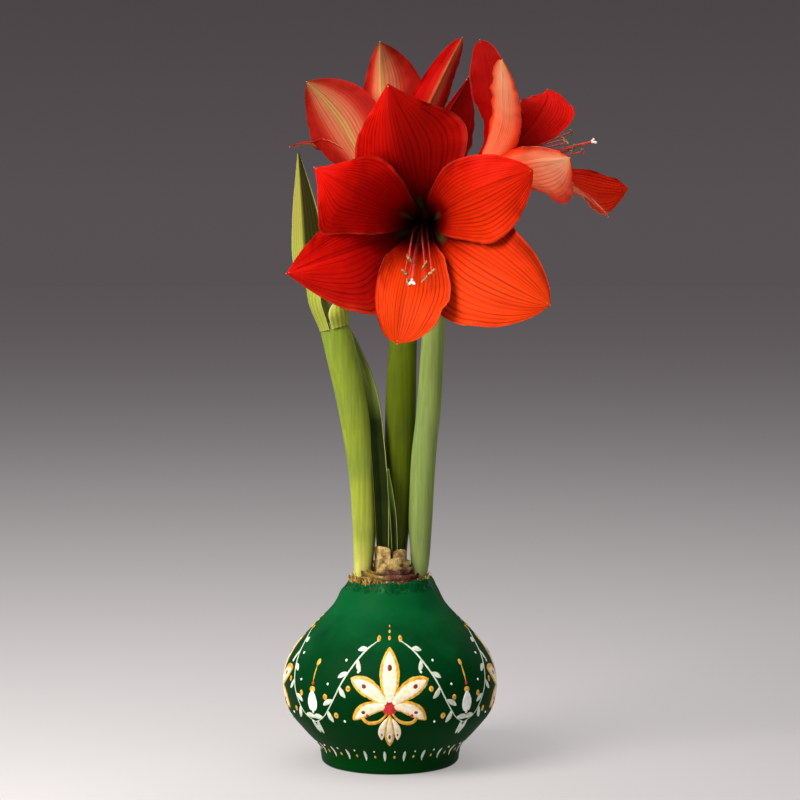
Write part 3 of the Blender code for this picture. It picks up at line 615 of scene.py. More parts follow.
def make_bulb_body(surface):
    """The fleshy bulb under the wax and between the rings, closed over under the stub."""
    outline = list(BODY_SHOULDER)
    for share in shares(35):
        point = along(WAX_POINTS, 0.12 + 0.86 * share)
        outline.append((point.x, point.y - WAX_THICKNESS - 0.9))
    outline += [(2.4, FOOT_RADIUS - 4.0), (2.4, 0.0)]
    rows = []
    for height, radius in outline:
        rough = 1.0 if height > 101.0 and radius > 1.0 else 0.0
        rows.append([polar(angle, radius, height + wobble(angle, radius, 4.0, rough))
                     for angle in turns(BODY_SIDES)])
    shape = Shape()
    shape.sheet(rows, around=True)
    shape.piece("bulb_body", [surface], "bulb", "bulb")


def make_neck_rings(surface):
    """The torn tunics, ring in ring."""
    shape = Shape()
    for index, (radius, top, lean, depth) in enumerate(NECK_RINGS):
        ring_shape(shape, radius, top, lean, depth, 17.0 * index)
    shape.piece("papery_neck_rings", [surface], "bulb")


def on_stub(angle, bulge, height):
    """A point at a distance outside the stub's oval."""
    return Vector((
        STUB_CENTRE[0] + (STUB_RADII[0] + bulge) * math.cos(angle),
        STUB_CENTRE[1] + (STUB_RADII[1] + bulge) * math.sin(angle),
        height,
    ))


def make_stub(surface, shade_surface):
    """The cut stub: an oval core, painted dark brown for the shade it stands in, with an uneven cut face,
    and curved fresh scale ends round it.
    """
    shape = Shape()
    middle = Vector((*STUB_CENTRE, 0.0))
    base = [Vector((*STUB_CENTRE, STUB_BOTTOM))] * CORE_SIDES
    rows = [base]
    for share, height in CORE_OUTLINE:
        row = []
        for angle in turns(CORE_SIDES):
            ripple = 1.0 + 0.05 * noise.noise(polar(angle, 2.0, height * 0.1))
            uneven = wobble(angle, share * 9.0, 6.0, 1.4) if height > STUB_BOTTOM else 0.0
            reach = on_stub(angle, -CORE_INSET, 0.0) - middle
            row.append(middle + reach * share * ripple + Vector((0.0, 0.0, height + uneven)))
        rows.append(row)
    shape.sheet(rows + [base], around=True, kind=1)
    for index, (first, last, outside, top) in enumerate(SCALES):
        blade = []
        for share in shares(12):
            row = []
            for step in shares(24):
                across = 2.0 * step - 1.0
                ragged = 0.9 * noise.noise(Vector((across * 4.0 + index * 5.0, 0.0, 2.0)))
                tip = top - 1.6 * across**4 + ragged
                swell = noise.noise(Vector((across * 2.0, share * 2.0, index * 3.0)))
                row.append(on_stub(math.radians(first + (last - first) * step),
                                   outside + 0.7 * share + 0.5 * swell,
                                   STUB_BOTTOM + (tip - STUB_BOTTOM) * share))
            blade.append(row)
        thickened(shape, blade, lambda share, across: SCALE_THICKNESS * (1.0 - 0.45 * abs(across) ** 3))
    shape.piece("cut_neck_scales", [surface, shade_surface], "bulb")


def make_fringe(surface):
    """Dry shreds of the outer tunic that stick up between the wax rim and the bulb."""
    draw = random.Random(5)
    shape = Shape()
    for index in range(FRINGE_COUNT):
        angle = math.tau * (index + draw.uniform(-0.4, 0.4)) / FRINGE_COUNT
        thick = 0.5 + 0.5 * math.cos(2.0 * (angle - math.radians(195)))
        radius = draw.uniform(21.7, 22.4)
        bottom = draw.uniform(100.0, 102.0)
        length = draw.uniform(2.2, 4.0) + 3.2 * thick * draw.random()
        half_width = draw.uniform(0.3, 0.9)
        lean = draw.uniform(-0.25, 0.25)
        sway = draw.uniform(-0.5, 0.5)
        outwards = polar(angle, 1.0)
        sideways = Vector((-outwards.y, outwards.x, 0.0))
        rows = []
        for share in shares(4):
            centre = polar(angle, radius + lean * length * share, bottom + length * share)
            centre += sideways * sway * length * share**2
            half = half_width * (1.0 - 0.75 * share)
            rows.append([centre - sideways * half, centre + outwards * 0.15, centre + sideways * half])
        thickened(shape, rows, lambda share, across: 0.28)
    shape.piece("dry_tunic_fringe", [surface], "bulb")


def papery_tunic(name, stops, gloss=0.62, shaded_foot=False, left_stops=None, left_edge=(2.0, -7.0)):
    """Dry bulb tunic: thin brown paper with upright fibres and stains, and a foot darkened with painted
    shade if asked for.

    left_stops are its colours on the left of the bulb, from the first to the second x of left_edge in mm. On
    the cut scale they are painted shade.
    """
    look = Look(name, IOR=1.5, Roughness=gloss)
    stain = look.noise(4.5, 5.0, rough=0.65)
    colour = look.ramp(stain, stops)
    if left_stops:
        left = look.span(look.split(look.place)["X"], left_edge[0] * MM, left_edge[1] * MM)
        colour = look.mix(left, colour, look.ramp(stain, left_stops))
    fibre = look.noise(0.7, 3.0, scale=(1.0, 1.0, 0.12))
    colour = look.tone(colour, look.span(fibre, 0.3, 0.7, 0.62, 1.15))
    # Painted shade low on each ring, where the ring outside it shades it, and a little painted light along
    # its top edge.
    if shaded_foot:
        colour = look.tone(colour, look.span(look.split(look.lay())["X"], 0.32, 0.46, 0.08, 1.15))
    return look.finish(Base_Color=colour, Normal=look.bump(fibre, 0.6, 0.25))


# The cut scale's left_stops darken its left side: painted shade.
fleshy_scale = papery_tunic(
    "cut bulb scale",
    [(0.32, "#3A240E"), (0.42, "#8A6632"), (0.54, "#C0A25A"), (0.74, "#E2D08E")],
    left_stops=[(0.35, "#1C1208"), (0.6, "#3A240E"), (0.8, "#5A3C1C")],
    left_edge=(-6.6, -8.2), gloss=0.5)
brown_tunic = papery_tunic(
    "brown bulb tunic",
    [(0.36, "#3E1210"), (0.48, "#7A3A2C"), (0.58, "#AE7458"), (0.70, "#D8B88A")],
    left_stops=[(0.34, "#3A2408"), (0.46, "#8A6420"), (0.58, "#B8963E"), (0.70, "#DCC878")],
    shaded_foot=True)
# The inner scale is painted dark brown as painted shade, for the stub's core and the bulb seen between the
# rings.
shade_dark_tunic = papery_tunic("inner scale, painted dark for shade", [(0.30, "#24160C"), (0.5, "#3E2814"), (0.7, "#64461F")])
straw_tunic = papery_tunic("straw bulb tunic", [(0.32, "#6E4E18"), (0.50, "#B08C34"), (0.70, "#DCC46A")])
make_bulb_body(shade_dark_tunic)
make_neck_rings(brown_tunic)
make_stub(fleshy_scale, shade_dark_tunic)
make_fringe(straw_tunic)

# The flower stems: hollow, slightly flattened green stems with a faint waxy bloom, paler where they leave
# the bulb. Each ends in a flower stalk that swells into the three-lobed seed pod under the bloom.
STEM_FLATNESS = 0.9
SOCKET_BOTTOM = 90.0
LEFT_STEM = [
    ((-14.9, 0.0, SOCKET_BOTTOM), 5.3), ((-14.9, 0.0, 112.0), 5.6), ((-14.3, 0.0, 137.0), 6.9),
    ((-16.4, 0.0, 171.0), 7.8), ((-21.5, 0.0, 205.0), 8.6), ((-28.4, 0.0, 236.0), 8.8),
    ((-31.8, 0.0, 249.0), 8.2),
]
CENTRE_STEM = [
    ((3.4, 5.8, SOCKET_BOTTOM), 4.8), ((3.7, 5.6, 118.0), 5.9), ((4.2, 6.0, 138.0), 7.4),
    ((5.0, 6.5, 171.0), 8.3), ((6.2, 7.0, 205.0), 8.7), ((7.6, 7.0, 245.0), 7.8), ((9.2, 6.5, 284.0), 7.2),
]
RIGHT_STEM = [
    ((13.0, 0.0, SOCKET_BOTTOM), 4.4), ((16.7, 0.0, 112.0), 5.2), ((17.1, 0.0, 137.0), 6.8),
    ((18.8, 0.5, 171.0), 7.0), ((22.2, 1.0, 205.0), 6.9), ((24.4, 2.0, 245.0), 6.5),
    ((27.0, 3.5, 286.0), 6.3),
]
STEMS = {
    # stem: its route, the bloom it carries, and how its flower stalk sets out
    "scape_left": (LEFT_STEM, "left", (2.0, 1.0, 22.0)),
    "scape_centre": (CENTRE_STEM, "front", (1.0, 4.0, 18.0)),
    "scape_right": (RIGHT_STEM, "right", (0.0, 0.0, 14.0)),
}
STEM_SIDES = 48
STEM_ROWS = 120
STALK_RADII = [2.9, 2.6, 2.5, 2.6, 3.6]
POD_LENGTH = 10.0
POD_RADIUS = 4.9
STALK_ROWS = 60
STALK_SIDES = 36
GAP = 0.3

# Blooms, as named values that the stalks, the tepals and the stamens share.
# Tepal: its tip, and its half width in mm. point: small for a blunt end, large for a drawn-out one.
# lean: how much wider the second edge is than the first. bow: how far the tepal runs forward before it
# bends back. cup: its curve across the end. fold: how far its halves stand in front of the midrib.
# twist: its turn in degrees up to the tip. ruffle and phase: the waves of its margins.
# Bloom: red_outside and pale_inside count the tepals that are painted crimson on both sides, as painted
# shade where they hang in shade, and those that show their coral outside on both sides.
RECEPTACLE_RADII = (5.3, 6.3, 6.8, 6.9, 6.5)
RECEPTACLE_LENGTH = 7.0
Tepal = namedtuple("Tepal", "tip half_width point lean bow cup fold twist ruffle phase")


class Bloom:
    """Where a bloom sits and the way it looks, two directions square to that, and its tepals."""

    def __init__(self, foot, axis, roll, stigma, red_outside, pale_inside, tepals):
        self.foot = Vector(foot)
        self.axis = Vector(axis).normalized()
        self.level = Vector((0.0, 0.0, 1.0)).cross(self.axis).normalized()
        self.upright = self.axis.cross(self.level)
        self.half_length = self.axis * RECEPTACLE_LENGTH / 2.0
        self.seat = self.foot + self.axis * (RECEPTACLE_LENGTH / 2.0 + GAP)
        self.roll = roll
        self.stigma = Vector(stigma)
        self.red_outside = red_outside
        self.pale_inside = pale_inside
        self.tepals = tepals

    def around(self, degrees):
        """The direction square to the axis at an angle round it."""
        angle = math.radians(degrees)
        return self.level * math.cos(angle) + self.upright * math.sin(angle)


BLOOMS = {
    "front": Bloom((20.3, -22.7, 302.6), (-0.122, -0.991, 0.044), 88, (12.0, -111.0, 276.0), (), (), [
        Tepal((-0.7, -98.0, 378.0), 32, 1.00, -0.18, 6, -0.3, -0.40, 0, 0.05, 0.0),
        Tepal((-39.0, -92.0, 334.5), 33, 1.15, 0.26, 12, -0.2, -0.16, 0, 0.08, 1.0),
        Tepal((-54.0, -91.0, 279.0), 31, 1.00, 0.38, 4, 0.2, 0.05, 0, 0.08, 2.0),
        Tepal((4.1, -104.0, 243.0), 20, 0.55, 0.25, -4, 0.3, 0.10, 0, 0.12, 0.5),
        Tepal((83.5, -110.0, 263.5), 30, 0.72, -0.14, 6, 0.2, 0.05, 0, 0.07, 2.8),
        Tepal((74.5, -108.0, 333.3), 24, 0.72, -0.14, 10, -0.2, -0.10, 0, 0.10, 4.0),
    ]),
    "left": Bloom((-1.0, 14.0, 310.0), (-0.06, 0.87, 0.48), 30, (-6.0, 104.0, 340.0), (3,), (5,), [
        Tepal((-48.2, 72.0, 383.3), 24, 0.85, -0.05, -4, 0.2, 0.10, 0, 0.05, 1.0),
        Tepal((-5.9, 75.0, 406.4), 20, 0.95, 0.50, 4, 0.2, 0.10, 0, 0.05, 0.0),
        Tepal((41.5, 72.0, 408.6), 10, 0.60, 0.0, -34, 0.5, 0.20, 0, 0.05, 4.0),
        Tepal((45.0, 62.0, 385.9), 20, 0.90, 0.80, -50, 0.2, 0.05, 0, 0.07, 2.8),
        Tepal((6.0, 98.0, 298.0), 27, 0.80, 0.0, 6, 0.1, 0.05, 0, 0.08, 0.5),
        Tepal((-58.5, 82.0, 345.9), 9, 0.90, 0.0, 10, 0.0, 0.05, -45, 0.08, 2.0),
    ]),
    "right": Bloom((38.0, 12.0, 322.0), (0.80, 0.40, 0.44), 62, (114.2, 30.0, 348.5), (0,), (3,), [
        Tepal((50.9, 36.0, 406.0), 13, 0.55, 0.0, -10, 0.0, 0.05, 40, 0.05, 0.0),
        Tepal((61.2, -30.0, 392.5), 13, 0.60, 0.0, -4, 0.8, 0.05, 0, 0.05, 1.0),
        Tepal((97.4, -45.0, 339.5), 18.5, 0.80, 0.55, 0, 0.3, 0.05, 0, 0.05, 2.0),
        Tepal((121.3, 0.0, 306.8), 9, 0.80, 0.0, 0, 0.1, 0.05, 35, 0.08, 0.5),
        Tepal((137.1, 60.0, 322.2), 17, 0.70, -0.80, -22, 0.1, 0.05, 75, 0.07, 2.8),
        Tepal((91.0, 70.0, 379.0), 25, 1.15, -0.25, -14, 0.2, 0.05, -85, 0.05, 4.0),
    ]),
}


def bezier(points, share):
    """A point at share 0 to 1 of the cubic curve that four control points pull."""
    first, second, third, fourth = points
    rest = 1.0 - share
    return (
        rest**3 * first
        + 3.0 * rest**2 * share * second
        + 3.0 * rest * share**2 * third
        + share**3 * fourth
    )


def swept(shape, centre, radius, rows, sides, section=None, flat=1.0, kind=0):
    """Adds a closed tube along centre(share) with radius(share), and a cross-section if one is given."""
    points = [centre(share) for share in shares(rows)]
    side = Vector((1.0, 0.0, 0.0))
    rings = []
    for row, point in enumerate(points):
        ahead = (points[min(row + 1, rows)] - points[max(row - 1, 0)]).normalized()
        side = (side - ahead * side.dot(ahead)).normalized()
        up = ahead.cross(side)
        ring = []
        for angle in turns(sides):
            reach = radius(row / rows) * (section(angle, row / rows) if section else 1.0)
            ring.append(point + (side * math.cos(angle) + up * math.sin(angle)) * reach)
        rings.append(ring)
    rings = [[points[0]] * sides, *rings, [points[-1]] * sides]
    shape.sheet([[Vector((spot.x, spot.y * flat, spot.z)) for spot in ring] for ring in rings],
                around=True, kind=kind)


def stalk_route(bloom, start, sway):
    """The flower stalk from inside the stem's top to just under the bloom, swelling into the seed pod."""
    end = bloom.foot - bloom.axis * (RECEPTACLE_LENGTH / 2.0 + GAP)
    along_pod = bloom.axis * POD_LENGTH
    pod = end - along_pod
    controls = (start, start + Vector(sway), pod - along_pod, pod)
    spots = [bezier(controls, share) for share in shares(len(STALK_RADII) - 1)]
    return [*spots, pod + along_pod * 0.5, end], [*STALK_RADII, POD_RADIUS, POD_RADIUS - 0.3]


def make_stem(name, surface):
    """A ribbed stem, with the flower stalk and seed pod that stand on it."""
    route, bloom, sway = STEMS[name]
    centres = [Vector(point) for point, radius in route]
    radii = [radius for point, radius in route]
    seed = 31.0 * len(name)

    def ribbed(angle, share):
        """Two low shoulders and fine ribs along the stem, and a rounded lip at its top."""
        ribs = 0.006 * math.sin(17.0 * angle + 1.5 * math.sin(6.0 * share))
        shoulders = -0.022 * math.cos(2.0 * angle) ** 2
        uneven = 0.03 * noise.noise(Vector((math.cos(angle), math.sin(angle) + seed, 9.0 * share)))
        return (1.0 + ribs + shoulders + uneven) * (1.0 - 0.5 * smooth_step(0.985, 1.0, share) ** 2)

    def lobed(angle, share):
        """Round along the stalk, and three-lobed at the seed pod."""
        return 1.0 + (0.10 * math.cos(3.0 * angle) - 0.05) * smooth_step(0.70, 0.85, share)

    shape = Shape()
    swept(shape, curve(centres), curve(radii), STEM_ROWS, STEM_SIDES, ribbed, STEM_FLATNESS)
    top = Vector((centres[-1].x, centres[-1].y * STEM_FLATNESS, centres[-1].z - 5.0))
    spots, sizes = stalk_route(BLOOMS[bloom], top, sway)
    swept(shape, curve(spots), curve(sizes), STALK_ROWS, STALK_SIDES, lobed)
    shape.piece(name + "_stem", [surface], "stem", name)


def fleshy_stem(name, growth_colours, dull_colour):
    """A fresh flower stem: smooth green skin, waxy and slightly see-through, streaked along its length."""
    look = Look(name, IOR=1.42, Specular_IOR_Level=0.10, Subsurface_Weight=0.06, Subsurface_Scale=0.003,
                Subsurface_Radius=(0.6, 1.0, 0.2))
    level = look.span(look.split(look.place)["Z"], 100 * MM, 300 * MM)
    growth = look.ramp(level, list(zip((0.0, 0.14, 0.36, 0.75, 1.0), growth_colours)))
    streak = look.noise(1.5, 4.0, scale=(1.0, 1.0, 0.05))
    cloud = look.noise(22, 3.0)
    waxy = look.mix(look.span(cloud, 0.45, 0.75, 0.0, 0.45), growth, dull_colour)
    return look.finish(
        Base_Color=look.tone(waxy, look.span(streak, 0.3, 0.7, 0.80, 1.14)),
        Roughness=look.span(cloud, 0.0, 1.0, 0.34, 0.52),
        Normal=look.bump(streak, 0.3, 0.15))


make_stem("scape_left", fleshy_stem(
    "yellow-green stem", ("#CFC96A", "#A9B142", "#879630", "#7E9130", "#95A342"), "#66783A"))
# The centre stem is painted dark olive: painted shade, for it stands behind the front bloom and between the
# other stems.
make_stem("scape_centre", fleshy_stem(
    "olive stem, painted dark for shade", ("#3A420A", "#424C08", "#4E5A08", "#5C6A0C", "#667410"), "#3E4C12"))
make_stem("scape_right", fleshy_stem(
    "grey-green stem", ("#8C9A58", "#7C8E4A", "#82964E", "#7E9048", "#88904E"), "#6A8052"))

# The leaves: two young strap leaves that rise from the neck between the stems. They are thick, channelled
# and glossy, with veins along them. Their near-black green is painted shade, and their pale margins and the
# long leaf's lighter end are painted light. Blade also holds the sheath valves further on.
Blade = namedtuple("Blade", "route half_widths halves look clasp", defaults=(None, None))
LEAVES = {
    # leaf: its midrib from foot to tip, its half widths, and the directions in which its two halves lie
    "leaf_long": Blade(
        [(-3.4, -4.0, 104.0), (-4.0, -4.6, 124.0), (-4.5, -4.6, 145.0), (-5.6, -3.6, 165.0),
         (-7.2, -1.0, 184.0), (-9.4, 2.6, 202.0), (-13.8, 8.6, 220.0), (-21.5, 13.0, 242.0)],
        (2.8, 4.0, 4.7, 4.8, 4.6, 4.4, 3.6, 0.7), ((-0.86, -0.50), (0.86, -0.50))),
    "leaf_short": Blade(
        [(2.9, -5.6, 104.0), (2.7, -6.4, 121.0), (1.8, -7.4, 140.0), (0.2, -8.0, 155.0),
         (-1.2, -8.0, 167.0)],
        (1.7, 2.2, 2.4, 1.9, 0.7), ((-0.80, -0.60), (0.80, -0.60))),
}
LEAF_THICKNESS = 1.4
LEAF_ROWS = 90
LEAF_COLUMNS = 24


def folded_place(blade):
    """The surface of a leaf or sheath valve: two halves that bend away from a rounded midrib."""
    route = [Vector(point) for point in blade.route]
    first, second = (Vector((*half, 0.0)).normalized() for half in blade.halves)

    def place(share, across):
        soft = math.sqrt(across * across + 0.04) - 0.2
        spread = first * max(-across, 0.0) + second * max(across, 0.0)
        middle = (first + second) * 0.5 * (abs(across) - soft)
        return along(route, share) + (spread - middle) * along(blade.half_widths, share)

    return place


def sheet_rows(place, rows, columns):
    """Rows of points of a surface: place takes the share along it, and -1 to 1 across it."""
    return [[place(share, 2.0 * step - 1.0) for step in shares(columns)] for share in shares(rows)]


def make_leaf(name, surface):
    """A leaf blade, thinner at its margins and finely ribbed."""
    shape = Shape()
    rows = sheet_rows(folded_place(LEAVES[name]), LEAF_ROWS, LEAF_COLUMNS)
    thickened(shape, rows, lambda share, across: LEAF_THICKNESS * (1.0 - 0.6 * abs(across) ** 3),
              relief=lambda share, across, point: 0.05 * math.cos(36.0 * across))
    shape.piece(name + "_blade", [surface], "leaf", name)


def veined_leaf(name, low, high, edge, tip, veins, shaded=1.0, gloss=0.42, margins=2, light_from=0.5):
    """Leaf tissue: parallel veins, one or two pale margins, a lighter end from the share light_from of its
    length on, and a second half that keeps only the given part of its light."""
    look = Look(name, IOR=1.42, Specular_IOR_Level=0.09, Roughness=gloss, Subsurface_Weight=0.05,
                Subsurface_Scale=0.002, Subsurface_Radius=(0.5, 1.0, 0.2))
    along_blade, across_blade = look.split(look.lay())[:2]
    tint = look.mix(look.noise(9, 4.0), low, high)
    ended = look.mix(look.span(along_blade, light_from, light_from + 0.2, 0.0, 0.8), tint, tip)
    comb = look.maths("SINE", look.product(across_blade, veins * math.tau))
    lost = look.product(look.span(across_blade, 0.46, 0.56, 0.0, 1.0 - shaded),
                        look.span(along_blade, 0.34, 0.52))
    tone = look.product(look.span(comb, -1.0, 1.0, 0.82, 1.12), look.maths("SUBTRACT", 1.0, lost))
    away = look.maths("SUBTRACT", across_blade, 0.5)
    far = look.maths("ABSOLUTE", away)
    margin = look.span(far if margins == 2 else away, 0.445, 0.485, 0.0, 0.85)
    return look.finish(Base_Color=look.mix(margin, look.tone(ended, tone), edge),
                       Normal=look.bump(comb, 0.4, 0.15))


# The leaf greens are near black as painted shade; the pale margins and the long leaf's lighter end are
# painted light.
make_leaf("leaf_long", veined_leaf("young leaf in painted shade, one margin in painted light", "#0E1603", "#263208", "#A2AC60",
                                   tip="#8FA045", veins=9, margins=1, light_from=0.64))
make_leaf("leaf_short", veined_leaf("young leaf in painted shade, both margins in painted light", "#0E1603", "#263208", "#AEB670",
                                    tip="#46581C", veins=7))

# The sheath valves: the two halves of the bud's sheath, which clasp the top of each stem. On the left
# stem they are still green and upright; on the other two they have dried to brown paper and hang behind.
CLASP_GAP = 1.3
CLASP_DROP = 4.0
SHEATH_THICKNESS = 0.9
SHEATH_ROWS = 60
SHEATH_COLUMNS = 28
SHEATHS = {
    # sheath: as a leaf, with its look, the stem it clasps, and the angles its foot spans round that stem
    "sheath_left_outer": Blade(
        [(-39.5, -3.0, 245.0), (-43.0, -7.0, 262.0), (-47.0, -9.5, 284.0), (-48.6, -9.0, 310.0),
         (-50.6, -6.0, 342.0)],
        (5.0, 10.5, 13.0, 9.5, 0.7), ((-0.50, 0.86), (0.97, 0.24)), "shaded_leaf", ("scape_left", 90, 250)),
    "sheath_left_inner": Blade(
        [(-25.5, -6.0, 245.0), (-23.0, -10.0, 258.0), (-20.5, -13.0, 272.0), (-18.5, -14.0, 290.0)],
        (6.0, 8.5, 7.5, 0.7), ((-0.80, 0.60), (0.80, 0.60)), "leaf", ("scape_left", -98, 78)),
    "sheath_centre_near": Blade(
        [(0.0, 8.0, 280.0), (-4.0, 12.0, 290.0), (-8.0, 16.0, 282.0), (-9.0, 18.0, 262.0)],
        (3.0, 5.0, 4.5, 0.7), ((-0.90, -0.43), (0.90, 0.43)), "dry_sheath", ("scape_centre", 230, 95)),
    "sheath_centre_far": Blade(
        [(13.0, 12.0, 280.0), (13.0, 18.0, 290.0), (12.0, 24.0, 282.0), (11.0, 27.0, 258.0)],
        (3.0, 5.0, 4.5, 0.7), ((-0.90, 0.43), (0.90, -0.43)), "dry_sheath", ("scape_centre", 85, -45)),
    "sheath_right_near": Blade(
        [(33.0, 0.0, 282.0), (38.0, -3.0, 291.0), (42.0, -3.0, 281.0), (43.0, -2.0, 262.0)],
        (2.6, 4.4, 4.0, 0.7), ((-0.30, -0.95), (0.30, 0.95)), "dry_sheath", ("scape_right", -110, 40)),
    "sheath_right_far": Blade(
        [(26.0, 9.0, 282.0), (26.0, 14.0, 292.0), (26.0, 20.0, 283.0), (25.0, 23.0, 263.0)],
        (2.6, 4.4, 4.0, 0.7), ((-0.95, 0.30), (0.95, -0.30)), "dry_sheath", ("scape_right", 190, 52)),
}


def clasping_place(blade):
    """A sheath valve: folded like a leaf, but with its foot laid round the top of its stem."""
    folded = folded_place(blade)
    name, first, last = blade.clasp
    below, (top, radius) = STEMS[name][0][-2:]
    flatten = Matrix.Diagonal((1.0, STEM_FLATNESS, 1.0))
    upwards = (flatten @ (Vector(top) - Vector(below[0]))).normalized()
    level = Vector((0.0, 1.0, 0.0)).cross(upwards).normalized()
    back = upwards.cross(level)
    foot = flatten @ Vector(top) - upwards * CLASP_DROP
    corners = [Vector(point) for point in blade.route]
    length = sum((after - before).length for before, after in zip(corners, corners[1:]))

    def place(share, across):
        angle = math.radians(first + (last - first) * (across + 1.0) / 2.0)
        distance = radius + 0.25 + CLASP_GAP * smooth_step(0.0, 0.2, share) + 4.0 * share
        round_stem = (level * math.cos(angle) + back * math.sin(angle)) * distance
        loose = smooth_step(0.12, 0.45, share)
        clasped = foot + upwards * share * length + round_stem
        return clasped * (1.0 - loose) + folded(share, across) * loose

    return place


def make_sheath(name, surfaces):
    """A sheath valve, crinkled if it has dried."""
    blade = SHEATHS[name]
    dry = blade.look == "dry_sheath"
    crinkle = 0.9 if dry else 0.15

    def thickness(share, across):
        thinned = 0.25 + 0.75 * smooth_step(0.0, 0.12, share)
        return SHEATH_THICKNESS * (1.0 - 0.6 * abs(across) ** 3) * thinned

    def relief(share, across, point):
        crinkled = crinkle * smooth_step(0.1, 0.5, share) * noise.noise(point * 0.16)
        return 0.04 * math.cos(40.0 * across) + crinkled

    shape = Shape()
    rows = sheet_rows(clasping_place(blade), SHEATH_ROWS, SHEATH_COLUMNS)
    thickened(shape, rows, thickness, relief=relief)
    shape.piece(name + "_valve", [surfaces[blade.look]], "dry_sheath" if dry else "leaf", name)


sheath_surfaces = {
    "leaf": veined_leaf("green sheath", "#8C9636", "#A9AC44", "#B9B56C", tip="#9E9A48", veins=11),
    "shaded_leaf": veined_leaf("green sheath, half in shade", "#8A9630", "#A4A642", "#A8A866",
                               tip="#98903E", veins=11, shaded=0.11),
    "dry_sheath": veined_leaf("dried sheath", "#6E4A28", "#A67C48", "#D2B27A", tip="#94683C", veins=10,
                              gloss=0.7),
}
for sheath_name in SHEATHS:
    make_sheath(sheath_name, sheath_surfaces)

# The blooms: six tepals in two whorls, fused at the foot into a short tube. A tepal is a thin, velvety
# sheet, scarlet inside with darker veins and a black-red throat, and coral outside with a green midrib.
TEPAL_THICKNESS = 0.8
TEPAL_TIP_HALF = 0.35
TEPAL_SWELL = 1.15
TEPAL_ROWS = 56
TEPAL_COLUMNS = 36
TEPAL_VEINS = 11
TEPAL_COUNT = 6
RUFFLE_WAVES = 2.2
RIPPLE_SHIFT = 1.3
TUBE_REACH = 38.0
MIDRIB_SPREAD = 0.46
POINT_RADII = (0.46, 0.20)
WHORLS = (
    # outer and inner whorl: distance from the axis at the foot and in the throat, how far the midrib runs
    # on ahead, and the widest half width as a share of the distance from the axis
    (6.1, 9.6, 0.0, 1.06),
    (4.6, 6.4, 5.0, 0.86),
)


def soft_least(first, second):
    """The smaller of two lengths in mm, with the corner between them rounded over about 5 mm."""
    return -math.log(math.exp(-0.3 * first) + math.exp(-0.3 * second)) / 0.3


def tepal_place(bloom, index):
    """The surface of one tepal, as a function of the share of its length and the place across."""
    foot, axis, tepal = bloom.foot, bloom.axis, bloom.tepals[index]
    base, throat, lead, fill = WHORLS[index % 2]
    widest = TEPAL_SWELL / (TEPAL_SWELL + tepal.point)
    swell = widest**TEPAL_SWELL * (1.0 - widest) ** tepal.point
    radial = bloom.around(bloom.roll + 60.0 * index)
    tip = Vector(tepal.tip)
    reach = (tip - foot).dot(axis)
    outwards = tip - foot - axis * reach
    controls = (
        foot + radial * base,
        foot + axis * TUBE_REACH + radial * throat,
        foot + axis * (reach + tepal.bow + lead) + outwards * MIDRIB_SPREAD,
        tip,
    )

    def middle(share):
        return bezier(controls, share)

    def place(share, across):
        centre = middle(share)
        forward = tangent(middle, share)
        offset = centre - foot
        out = offset - axis * offset.dot(axis)
        distance = max(out.length, 1.0)
        side = axis.cross(out.normalized())
        side = (side - forward * side.dot(forward)).normalized()
        twist = math.radians(tepal.twist) * smooth_step(0.2, 1.0, share)
        side = Matrix.Rotation(twist, 3, forward) @ side
        full = share**TEPAL_SWELL * (1.0 - share) ** tepal.point / swell
        leaning = 1.0 + tepal.lean * math.copysign(1.0, across)
        wanted = base * (1.0 - share) ** 2 + tepal.half_width * full * leaning
        half = max(soft_least(wanted, fill * distance), TEPAL_TIP_HALF)
        opened = smooth_step(0.3, 0.85, share)
        bend = ((1.0 - opened) * 0.9 + opened * tepal.cup) / distance
        angle = across * half * bend
        sideways, lift = across * half, 0.0
        if abs(bend) >= 1e-4:
            sideways, lift = math.sin(angle) / bend, (1.0 - math.cos(angle)) / bend
        lift += tepal.fold * abs(across) * half * opened
        edge = abs(across) ** 2.5 * smooth_step(0.3, 0.55, share) * (1.0 - smooth_step(0.85, 1.0, share))
        shift = tepal.phase + (RIPPLE_SHIFT if across > 0 else 0.0)
        lift += tepal.ruffle * half * edge * math.sin(math.tau * RUFFLE_WAVES * share + shift)
        return centre + side * sideways + forward.cross(side) * lift

    return place


def tepal_relief(share, across, point):
    """Fine raised veins, a groove along the midrib, and a crinkled margin."""
    opened = smooth_step(0.25, 0.5, share) * (1.0 - smooth_step(0.88, 1.0, share))
    veins = 0.035 * math.cos(2.0 * math.pi * TEPAL_VEINS * across)
    groove = -0.5 * math.exp(-((across / 0.06) ** 2))
    crinkle = abs(across) ** 3 * (2.0 * noise.noise(point * 0.12) + 1.1 * noise.noise(point * 0.35))
    swell = 0.8 * noise.noise(point * 0.06) + 0.25 * noise.noise(point * 0.2)
    return opened * (veins + groove + crinkle + swell)


